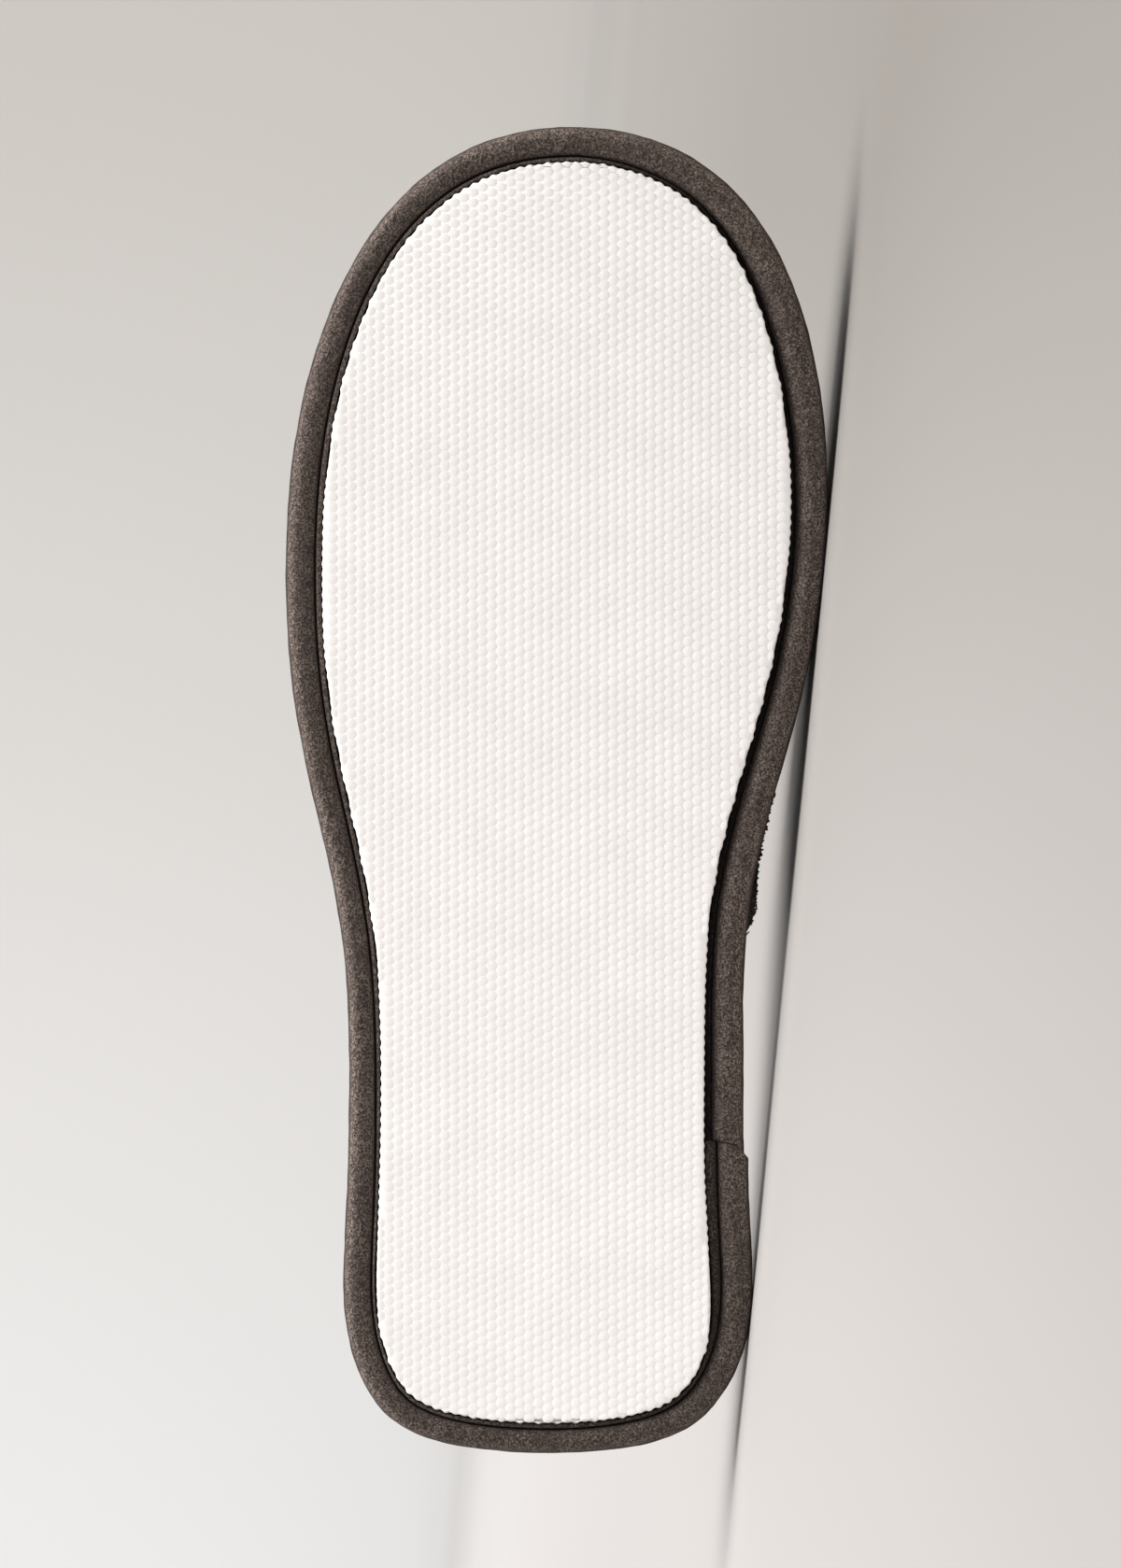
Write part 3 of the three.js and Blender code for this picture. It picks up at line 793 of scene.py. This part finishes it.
bpy.context.scene.frame_set(1)
print("the cover rose by", round(float(1000 * np.minimum(reach, FILL_CAP).mean()), 2), "mm on average")

smoothing = footbed.modifiers.new("smoothing", "SUBSURF")
smoothing.levels = smoothing.render_levels = 1
bpy.context.view_layer.update()
smoothed = footbed.evaluated_get(bpy.context.evaluated_depsgraph_get())
footbed.data = bpy.data.meshes.new_from_object(smoothed)
footbed.modifiers.remove(smoothing)
footbed.data.shade_smooth()
footbed.data.materials.clear()
footbed.data.materials.append(terry_ground.material)
hand_over(footbed, "insole")

# %% [markdown]
# ## The vamp
#
# The upper is one piece of terry with a lining, closed over the toes and open at the back. Its rule
# is the imported solid's: from the seam it climbs past its widest line and turns over to the ridge. Here
# it is made as two thin shells: the ground cloth of the terry, a loop's height inside the solid's
# face, and the lining. The creases are listed in the slipper's own sizes: a wide trough where
# the toes bend, two shallow folds beside it and some slackness at the sides of the toe box.

# %% The vamp's rule
THROAT_FROM_HEEL = 152.0
INSTEP_HEIGHT, TOE_HEIGHT, TOE_BOX_SETBACK = 62.0, 41.0, 37.0
BELLY_HEIGHT, BELLY = 12.0, 2.4
WIDEST_CLIMB = 0.22
RIDGE_END = LENGTH - TOE_BOX_SETBACK
CORNER_TURN = float(turn_at(REAR_CORNER_FROM_HEEL))
VAMP_PILE, GROUND_BACK, LINING_FACE = 1.0, -1.9, -2.05

VAMP = {
    "crown": [1.0, 0.86, 0.65, 0.43, 0.2, 0.0],
    "inner_belly": [1.5, 1.4, 1.0, 0.95, 0.95, 1.0],
    "outer_belly": [1.05, 0.95, 0.92, 0.92, 0.95, 1.0],
}


def read_column(column, share):
    """A smooth curve through the evenly spaced values of a column."""
    values = np.array(VAMP[column])
    place = np.clip(share, 0, 1) * (len(values) - 1)
    row = np.minimum(len(values) - 2, np.floor(place)).astype(int)
    a, b, c, d = (values[np.clip(row + k, 0, len(values) - 1)] for k in (-1, 0, 1, 2))
    t = place - row
    return b + 0.5 * t * (c - a + t * (2 * a - 5 * b + 4 * c - d + t * (3 * (b - c) + d - a)))


def crown_at(station):
    return mix(TOE_HEIGHT, INSTEP_HEIGHT, read_column("crown", station))


def vamp_point(turn, climb):
    turn, climb = np.broadcast_arrays(np.asarray(turn, float), np.asarray(climb, float))
    station = (along_at(turn) - REAR_CORNER_FROM_HEEL) / (LENGTH - REAR_CORNER_FROM_HEEL)
    inner, outer = read_column("inner_belly", station), read_column("outer_belly", station)
    belly = BELLY * np.where(turn < np.pi, inner, outer)
    ridge_x = mix(THROAT_FROM_HEEL, RIDGE_END, station)
    crown = crown_at(station)
    before, after = np.maximum(0, station - 0.02), np.minimum(1, station + 0.02)
    slope = (crown_at(after) - crown_at(before)) / ((after - before) * (RIDGE_END - THROAT_FROM_HEEL))
    rising = np.minimum(1, climb / WIDEST_CLIMB)
    run, rise = quarter_round(np.maximum(0, climb - WIDEST_CLIMB) / (1 - WIDEST_CLIMB) * np.pi / 2)
    height = mix(SEAT + BELLY_HEIGHT * rising, crown, rise)
    risen = (height - SEAT) / (crown - SEAT)
    forward = mix(np.maximum(0, risen) ** 1.3, run, eased(0.15, 0.7, station))
    base = inset(turn, np.full(turn.shape, SEAM_INSET))
    out = outward_at(turn) * (belly * np.sin(rising * np.pi / 2) * (1 - run))[..., None]
    x = mix(base[..., 0], ridge_x, forward) + out[..., 0]
    y = mix(base[..., 1], swing_at(turn), run) + out[..., 1]
    return np.stack([x, y, height + slope * (x - ridge_x) * run * run + spring_at(x)], -1)


def vamp_skin(turn, climb, out):
    """The same point moved out of the vamp's face, level where the vamp meets its seat."""
    level = np.minimum(climb, 0.97)
    around = vamp_point(turn + 0.004, level) - vamp_point(turn - 0.004, level)
    up = vamp_point(turn, np.minimum(1, climb + 0.004)) - vamp_point(turn, np.maximum(0, climb - 0.004))
    outward = np.cross(up, around)
    outward[..., 2] = np.where(climb <= 0, 0, outward[..., 2])
    outward /= np.linalg.norm(outward, axis=-1, keepdims=True)
    return vamp_point(turn, climb) + outward * np.asarray(out)[..., None]


# The main creases: where each lies from the heel, how wide and how deep it is, and how far it runs
# down each side from the ridge, as a share of the climb.
CREASES = [
    {"name": "toe bend", "from_heel": 203, "width": 9, "depth": 1.0, "reach": 0.45, "slant": 6},
    {"name": "fold before it", "from_heel": 214, "width": 5, "depth": -0.35, "reach": 0.4, "slant": 8},
    {"name": "fold behind it", "from_heel": 190, "width": 6, "depth": -0.45, "reach": 0.5, "slant": 4},
    {"name": "instep slack", "from_heel": 168, "width": 8, "depth": 0.5, "reach": 0.35, "slant": -5},
]


# How far the inner side stands out low down, near its rear corner, where it shows past the border.
SPREAD = {"from_heel": [104, 110, 115, 122, 131, 140, 158], "by": [1.5, 1.75, 1.6, 1.9, 1.7, 1.5, 0]}


def crease_depth(turn, climb):
    """How far the creases from wear dip the cloth, in millimetres."""
    place = vamp_point(turn, climb)
    side = np.where(np.asarray(turn) < np.pi, 1.0, -1.0)
    depth = np.zeros(place.shape[:-1])
    for crease in CREASES:
        off = place[..., 0] - crease["from_heel"] - crease["slant"] * side * (1 - climb)
        down = eased(1 - crease["reach"] * 1.6, 1 - 0.2 * crease["reach"], climb)
        depth += crease["depth"] * np.exp(-(off / crease["width"]) ** 2) * down
    slack = 0.35 * np.sin(9 * turn + 4 * climb) * np.sin(np.pi * np.clip(climb / 0.6, 0, 1)) ** 2
    low_on_side = (side > 0) * eased(0, 0.05, climb) * (1 - eased(0.3, 0.75, climb))
    spread = np.interp(place[..., 0], SPREAD["from_heel"], SPREAD["by"])
    return depth + slack - spread * low_on_side


def vamp_shell(columns, rows, out, within):
    """The outer and inner skins of a thin shell of the vamp, from one rear corner to the other."""
    climbs = np.unique(np.concatenate([np.linspace(0, WIDEST_CLIMB, rows // 3),
                                       np.linspace(WIDEST_CLIMB, 1, rows - rows // 3)]))
    turns = np.linspace(CORNER_TURN, 2 * np.pi - CORNER_TURN, columns + 1)
    turn, climb = np.meshgrid(turns, climbs, indexing="ij")
    dip = crease_depth(turn, climb)
    skins = [vamp_skin(turn, climb, level - dip) for level in (out, within)]
    for skin in skins:
        skin[:, -1] = (skin[:, -1] + skin[::-1, -1]) / 2
    return turn, climb, skins


# %% The two shells
def grid_faces(grid):
    """The quads of a grid of point numbers."""
    return np.stack([grid[:-1, :-1], grid[:-1, 1:], grid[1:, 1:], grid[1:, :-1]], -1).reshape(-1, 4)


def shell_mesh(skins):
    """One closed shell out of an outer and an inner grid of points, welded along the ridge."""
    columns, rows = skins[0].shape[0], skins[0].shape[1]
    number = np.arange(columns * rows).reshape(columns, rows)
    number[:, -1] = np.minimum(number[:, -1], number[::-1, -1])
    inner = number + columns * rows

    def seam(a, b):
        return np.stack([a[:-1], a[1:], b[1:], b[:-1]], -1)

    faces = np.concatenate([
        grid_faces(number), grid_faces(inner)[:, ::-1], seam(number[:, 0], inner[:, 0]),
        seam(inner[0], number[0]), seam(number[-1], inner[-1]),
    ])
    return np.concatenate([skin.reshape(-1, 3) for skin in skins]), faces


turn, climb, skins = vamp_shell(160, 42, LINING_FACE, -WALL)
lining_points, lining_faces = shell_mesh(skins)
girth = np.stack([turn * 90, climb * 75], -1)

turn, climb, skins = vamp_shell(220, 66, -VAMP_PILE, GROUND_BACK)
points, faces = shell_mesh(skins)
make_piece("vamp_terry_ground", points, faces, terry_ground, "upper")
make_piece("vamp_lining", lining_points, lining_faces, lining, cloth=[girth, girth])

# %% [markdown]
# ## Terry loops
#
# Terry is woven with extra yarn that stands up in loops. One loop is an arc with a three-sided yarn
# round it; Geometry Nodes scatter it over the ground cloth, lean it a little and turn it at random,
# always from the same seed. Each loop keeps how high its points rise in an attribute, and the finish
# paints the roots darker than the tips, as shade among the loops. The vamp's loops are grown in two
# pieces, one for each side of the foot.

# %% The tree that grows loops
pile = Growth("terry_loops", Spacing=1.0 * MM, Width=0.58 * MM, Yarn=0.21 * MM,
              Height=1.3, Lean=0.55, Seed=4)
arc = pile.node("GeometryNodeCurveArc", {}, {
    "Resolution": 5, "Radius": pile.size("Width"), "Start Angle": -0.75, "Sweep Angle": np.pi + 1.5,
})
three_sided = {"Resolution": 3, "Radius": pile.size("Yarn")}
profile_ring = pile.node("GeometryNodeCurvePrimitiveCircle", {}, three_sided)
loop = pile.node("GeometryNodeCurveToMesh", {}, {"Curve": arc, "Profile Curve": profile_ring})
upright = pile.node("GeometryNodeTransform", {}, {
    "Geometry": loop,
    "Rotation": (np.pi / 2, 0, 0),
    "Translation": pile.node("ShaderNodeCombineXYZ", {}, [0.0, 0.0, pile.size("Width") * 0.5]),
})
stretched = pile.node("GeometryNodeTransform", {}, {
    "Geometry": upright, "Scale": pile.node("ShaderNodeCombineXYZ", {}, [1.0, 1.0, pile.size("Height")]),
})
loop_height = pile.node("ShaderNodeSeparateXYZ", {}, [pile.node("GeometryNodeInputPosition")], "Z")
with_rise = pile.node("GeometryNodeStoreNamedAttribute", {"data_type": "FLOAT", "domain": "POINT"}, {
    "Geometry": stretched, "Name": "rise", "Value": loop_height / (pile.size("Width") * 2.2),
})
density = pile.node("GeometryNodeInputNamedAttribute", {"data_type": "FLOAT"}, {"Name": "pile"})
scatter = pile.node("GeometryNodeDistributePointsOnFaces", {"distribute_method": "POISSON"}, {
    "Mesh": pile.size("Geometry"), "Distance Min": pile.size("Spacing"), "Density Max": 3e6,
    "Density Factor": density, "Seed": pile.size("Seed"),
})
standing = Socket(pile, scatter.socket.node.outputs["Rotation"])


def chance(low, high, seed):
    return pile.node("FunctionNodeRandomValue", {"data_type": "FLOAT"}, {2: low, 3: high, "Seed": seed}, 1)


lean = pile.size("Lean")
tilt = pile.node("ShaderNodeCombineXYZ", {}, [
    chance(-1.0, 1.0, 11) * lean, chance(-1.0, 1.0, 12) * lean, chance(0.0, 6.283, 13),
])
turned = pile.node("FunctionNodeRotateRotation", {"rotation_space": "LOCAL"}, {
    "Rotation": standing, "Rotate By": pile.node("FunctionNodeEulerToRotation", {}, [tilt]),
})
pile.finish_with(
    pile.node("GeometryNodeInstanceOnPoints", {}, {
        "Points": scatter, "Instance": with_rise, "Rotation": turned, "Scale": chance(0.75, 1.25, 14),
    }),
    terry_yarn,
)


def grow_pile(name, ground, share, yarn=terry_yarn, **sizes):
    """Loops on a helper sheet, as dense as its share says, pressed flat where the slipper lies."""
    note(ground.data, "pile", share)
    grown = pile.grow(name, ground, **sizes)
    bpy.data.objects.remove(ground)
    grown.data.materials[0] = yarn.material
    places = points_of(grown)
    places[:, 2] = np.maximum(places[:, 2], 0.15 * MM)
    set_points(grown, places)
    hand_over(grown)


# %% Loops on the vamp
BINDING_WIDTH = 7.0
BARE_UNDER_BINDING = BINDING_WIDTH - 0.6

outer_skin = skins[0]
grid = np.arange(turn.size).reshape(turn.shape)
inner_from_rear = np.linalg.norm(outer_skin - outer_skin[:1], axis=-1)
outer_from_rear = np.linalg.norm(outer_skin - outer_skin[-1:], axis=-1)
middle = len(grid) // 2
halves = [
    ("vamp_loops_inner_side", grid[:middle + 1], inner_from_rear, 4),
    ("vamp_loops_outer_side", grid[middle:], outer_from_rear, 5),
]
for name, half, from_rear, seed in halves:
    helper = mesh_object("helper", outer_skin, grid_faces(half)[:, ::-1])
    grow_pile(name, helper, eased(BARE_UNDER_BINDING, BARE_UNDER_BINDING + 0.8, from_rear), Seed=seed)

# %% [markdown]
# In the photo some ragged terry shows past the border at the waist. It is the vamp's inner rear corner,
# which stands out there. Its loops are longer and lean more, and they close over the binding's end.

# %% Long loops at the inner rear corner
corner = slice(0, 60)
turn, climb, from_rear = turn[corner], climb[corner], inner_from_rear[corner]
over_binding = 0.6 * (1 - eased(BARE_UNDER_BINDING, BARE_UNDER_BINDING + 2, from_rear))
corner_skin = vamp_skin(turn, climb, over_binding - VAMP_PILE - crease_depth(turn, climb))
helper = mesh_object("helper", corner_skin, grid_faces(grid[corner])[:, ::-1])
corner_share = (1 - eased(22, 30, from_rear)) * (1 - eased(0.25, 0.4, climb))
# Their yarn is painted paler, as light on loops that lie in the roll's shadow.
grow_pile("vamp_loops_rear_corner", helper, corner_share, rubbed_yarn,
          Seed=12, Spacing=0.9 * MM, Width=0.78 * MM, Lean=0.9)

# %% Loops on the footbed
SHADE_FROM_HEEL = 175.0

upward = read(footbed.data.vertices, "normal", 3) @ AXES[2]
in_shade = eased(THROAT_FROM_HEEL, SHADE_FROM_HEEL, stood_up(points_of(footbed))[:, 0])
helper = bpy.data.objects.new("helper", footbed.data.copy())
bpy.context.scene.collection.objects.link(helper)
bed_share = eased(-0.1, 0.35, upward) * mix(1.0, 0.12, in_shade)
grow_pile("footbed_loops", helper, bed_share, Seed=9, Spacing=1.02 * MM)

# %% [markdown]
# ## The binding of the topline
#
# A strip of the border's cloth is folded over the cut edge of the vamp, from one rear corner over the
# instep to the other. Its section is a U whose two edges are pulled down into the pile by the stitches,
# and whose middle stands a little proud. A row of stitches runs near its front edge, outside and inside.

# %% The folded strip
BINDING_THICKNESS = 0.9
STITCH_FROM_EDGE = 1.5

outer_face = 0.3
inner_face = WALL + GAP + BINDING_THICKNESS
forwards = np.linspace(BINDING_WIDTH, 0, 15)
pulled = 1.1 * np.exp(-(((BINDING_WIDTH - forwards) / 0.7) ** 2))
pulled += 0.22 * np.exp(-(((BINDING_WIDTH - STITCH_FROM_EDGE - forwards) / 0.5) ** 2))
bend_middle = (outer_face - inner_face) / 2
half_wall = (outer_face + inner_face) / 2
bend = np.radians(np.linspace(0, 180, 15))[1:-1]
fold = np.concatenate([
    np.column_stack([forwards, outer_face + 0.12 * np.sin(np.pi * forwards / BINDING_WIDTH) - pulled]),
    np.column_stack([-1.2 * np.sin(bend), bend_middle + half_wall * np.cos(bend)]),
    np.column_stack([forwards[::-1], -inner_face - 0.1 * np.sin(np.pi * forwards[::-1] / BINDING_WIDTH)
                     + 0.35 * pulled[::-1]]),
])
inside_out = np.where(fold[::-1, 1] > bend_middle, np.minimum(-VAMP_PILE + 0.12, fold[::-1, 1] - 0.25),
                      np.maximum(-WALL - 0.2, fold[::-1, 1] + 0.35))
strip_section = np.concatenate([fold, np.column_stack([np.maximum(fold[::-1, 0], -GAP), inside_out])])


def strip_rows(section, climbs):
    """The section swept up one rear edge of the vamp, over the instep and down the other."""
    rows = []
    for side, rising in ((1, climbs), (-1, climbs[-2::-1])):
        corner = CORNER_TURN if side > 0 else 2 * np.pi - CORNER_TURN
        for level in rising:
            step = vamp_point(corner + 0.01 * side, level) - vamp_point(corner, level)
            pace = np.linalg.norm(step) / 0.01
            dip = crease_depth(np.array(corner), np.array(level))
            sunk = 0.7 * (1 - eased(0.2, 0.4, level)) * (section[:, 1] > bend_middle) * (side > 0)
            rows.append(vamp_skin(corner + side * section[:, 0] / pace, np.full(len(section), level),
                                  section[:, 1] - dip - sunk))
    return np.array(rows)


strip_climbs = np.concatenate([np.linspace(0, WIDEST_CLIMB, 14), np.linspace(WIDEST_CLIMB, 1, 60)[1:]])
strip = strip_rows(strip_section, strip_climbs)
strip_faces = loft_faces(len(strip), len(strip_section), lids=(0, len(strip) - 1))
make_piece("binding_strip", strip, strip_faces, binding_cloth, "topline_binding",
           wear_and_painted_light=np.full(strip.shape[:2], 0.85))

# %% Stitches along a line
sewing = Growth("stitches", Pitch=2.6 * MM, Length=1.7 * MM, Thickness=0.24 * MM)
line = sewing.node("GeometryNodeMeshToCurve", {}, [sewing.size("Geometry")])
every_pitch = {"Curve": line, "Length": sewing.size("Pitch")}
marks = sewing.node("GeometryNodeCurveToPoints", {"mode": "LENGTH"}, every_pitch)
heading = Socket(sewing, marks.socket.node.outputs["Rotation"])
grain = sewing.node("GeometryNodeMeshUVSphere", {}, {"Segments": 6, "Rings": 6, "Radius": 1.0})
stitch_size = sewing.node("ShaderNodeCombineXYZ", {}, [
    sewing.size("Thickness"), sewing.size("Thickness"), sewing.size("Length") * 0.5,
])
sewing.finish_with(
    sewing.node("GeometryNodeInstanceOnPoints", {}, {
        "Points": marks, "Instance": grain, "Rotation": heading, "Scale": stitch_size,
    }),
    thread,
)


for name, face in (("stitches_outside", outer_face - 0.05), ("stitches_inside", 0.05 - inner_face)):
    seam = strip_rows(np.array([[BINDING_WIDTH - STITCH_FROM_EDGE, face]]), strip_climbs)[2:-2, 0]
    helper = mesh_object("helper", seam, edges=[(k, k + 1) for k in range(len(seam) - 1)])
    sewn = sewing.grow(name, helper)
    bpy.data.objects.remove(helper)
    hand_over(sewn)

# %% [markdown]
# ## The floor, the light and the camera
#
# The floor is a wide pale bowl whose rim rises all round, so it has no edge or horizon from any side.
# A large soft lamp stands above the slipper on the camera's side, a low one fills the border's shadow
# and two behind light the paper. The camera looks straight at the sole along the tread's own axis, with
# the toe at the top of the picture.

# %% A seamless bowl for a floor
FLOOR_RADIUS, FLOOR_SWEEP = 3.2, 1.3

profile = [(0.0, 0.0), (0.6, 0.0), (1.5, 0.0), (FLOOR_RADIUS, 0.0)]
profile += [(FLOOR_RADIUS + FLOOR_SWEEP * np.sin(a), FLOOR_SWEEP * (1 - np.cos(a)))
            for a in np.radians(np.linspace(5, 75, 15))]
BOWL_SIDES = 96
around = np.linspace(0, 2 * np.pi, BOWL_SIDES, endpoint=False)
bowl_points = [(r * np.cos(a), r * np.sin(a), z) for r, z in profile[1:] for a in around]
bowl_faces = loft_faces(len(profile) - 1, BOWL_SIDES).tolist() + [list(range(BOWL_SIDES))]
bowl_mesh = bpy.data.meshes.new("floor")
bowl_mesh.from_pydata(bowl_points, [], bowl_faces)
bowl_mesh.shade_smooth()
floor = bpy.data.objects.new("floor", bowl_mesh)
bpy.context.scene.collection.objects.link(floor)

# The paper's colour is graded as painted shade and light: darker near the slipper, where the key lamp is
# strong, and paler in the distance. By the metres from a spot before the slipper, how much of the far tone it
# has.
PAPER = {
    "away": [0.5, 1.2, 2.1, 2.55, 3.0, 3.56, 4.0, 4.8],
    "far_tone": [0, 0.05, 0.15, 0.23, 0.43, 0.78, 0.95, 1.0],
}
paper = Finish("pale_paper", Roughness=0.9, Specular_IOR_Level=0.1)
east = paper.node("ShaderNodeSeparateXYZ", {}, [paper.place], "X")
off_centre = paper.node("ShaderNodeVectorMath", {"operation": "ADD"}, [paper.place, (0, 0.7, 0)])
distance = paper.node("ShaderNodeVectorMath", {"operation": "LENGTH"}, [off_centre], "Value")
far = paper.node("ShaderNodeValToRGB", {}, [distance / 5])
stops = far.socket.node.color_ramp.elements
for away, share in zip(PAPER["away"], PAPER["far_tone"]):
    stops.new(away / 5).color = (share, share, share, 1)
# Painted shade and light: both paper tones fall from pale to dark along +x.
near_paper = paper.blend(tone(164, 160, 158), tone(119, 115, 110), paper.between(east, -0.19, 0.19))
far_paper = paper.blend(tone(249, 248, 247), tone(216, 211, 205), paper.between(east, -0.7, 0.7))
bowl_mesh.materials.append(paper.wear(Base_Color=paper.blend(near_paper, far_paper, far)))

# %% The camera
PICTURE_LONG_SIDE = 318.2
CAMERA_DISTANCE = 1.8
AIM = (136.1, 0.66, 0.0)

camera = bpy.data.objects.new("camera", bpy.data.cameras.new("camera"))
bpy.context.scene.collection.objects.link(camera)
camera.data.sensor_width = 36.0
camera.data.lens = 36.0 * CAMERA_DISTANCE / (PICTURE_LONG_SIDE * MM)
camera.data.clip_end = 50.0
facing = Matrix((inward_side, toeward, out_of_sole)).transposed().to_4x4()
stand = Vector(laid_down([AIM])[0]) + out_of_sole * CAMERA_DISTANCE
camera.matrix_world = Matrix.Translation(stand) @ facing
bpy.context.scene.camera = camera
print("lens", round(camera.data.lens, 1), "mm, camera", round(stand.z * 1000), "mm above the floor")


# %% Soft lamps
def lamp(name, place, aim, width, height, watts, colour):
    light = bpy.data.objects.new(name, bpy.data.lights.new(name, "AREA"))
    bpy.context.scene.collection.objects.link(light)
    light.data.shape, light.data.size, light.data.size_y = "RECTANGLE", width, height
    light.data.energy, light.data.color = watts, colour
    light.location = place
    light.rotation_euler = (Vector(aim) - Vector(place)).to_track_quat("-Z", "Y").to_euler()
    return light


lamp("key", (0.6, -0.4, 2.3), (0, 0, 0.05), 2.2, 2.0, 130, (1.0, 0.995, 0.99))
lamp("fill", (0.8, -2.4, 0.25), (0, 0, 0.05), 1.6, 0.4, 11, (1.0, 1.0, 1.0))
lamp("back", (-0.4, 1.7, 1.2), (0, 0, 0.05), 1.5, 1.5, 14, (1.0, 1.0, 1.0))
lamp("backdrop", (-0.6, 2.0, 2.4), (-0.3, 4.6, 0.2), 2.5, 1.0, 24, (1.0, 1.0, 1.0))
world = bpy.context.scene.world or bpy.data.worlds.new("room")
bpy.context.scene.world = world
world.use_nodes = True
world.node_tree.nodes["Background"].inputs["Color"].default_value = (1.0, 0.995, 0.99, 1)
world.node_tree.nodes["Background"].inputs["Strength"].default_value = 0.3
bpy.context.scene.view_settings.view_transform = "Standard"
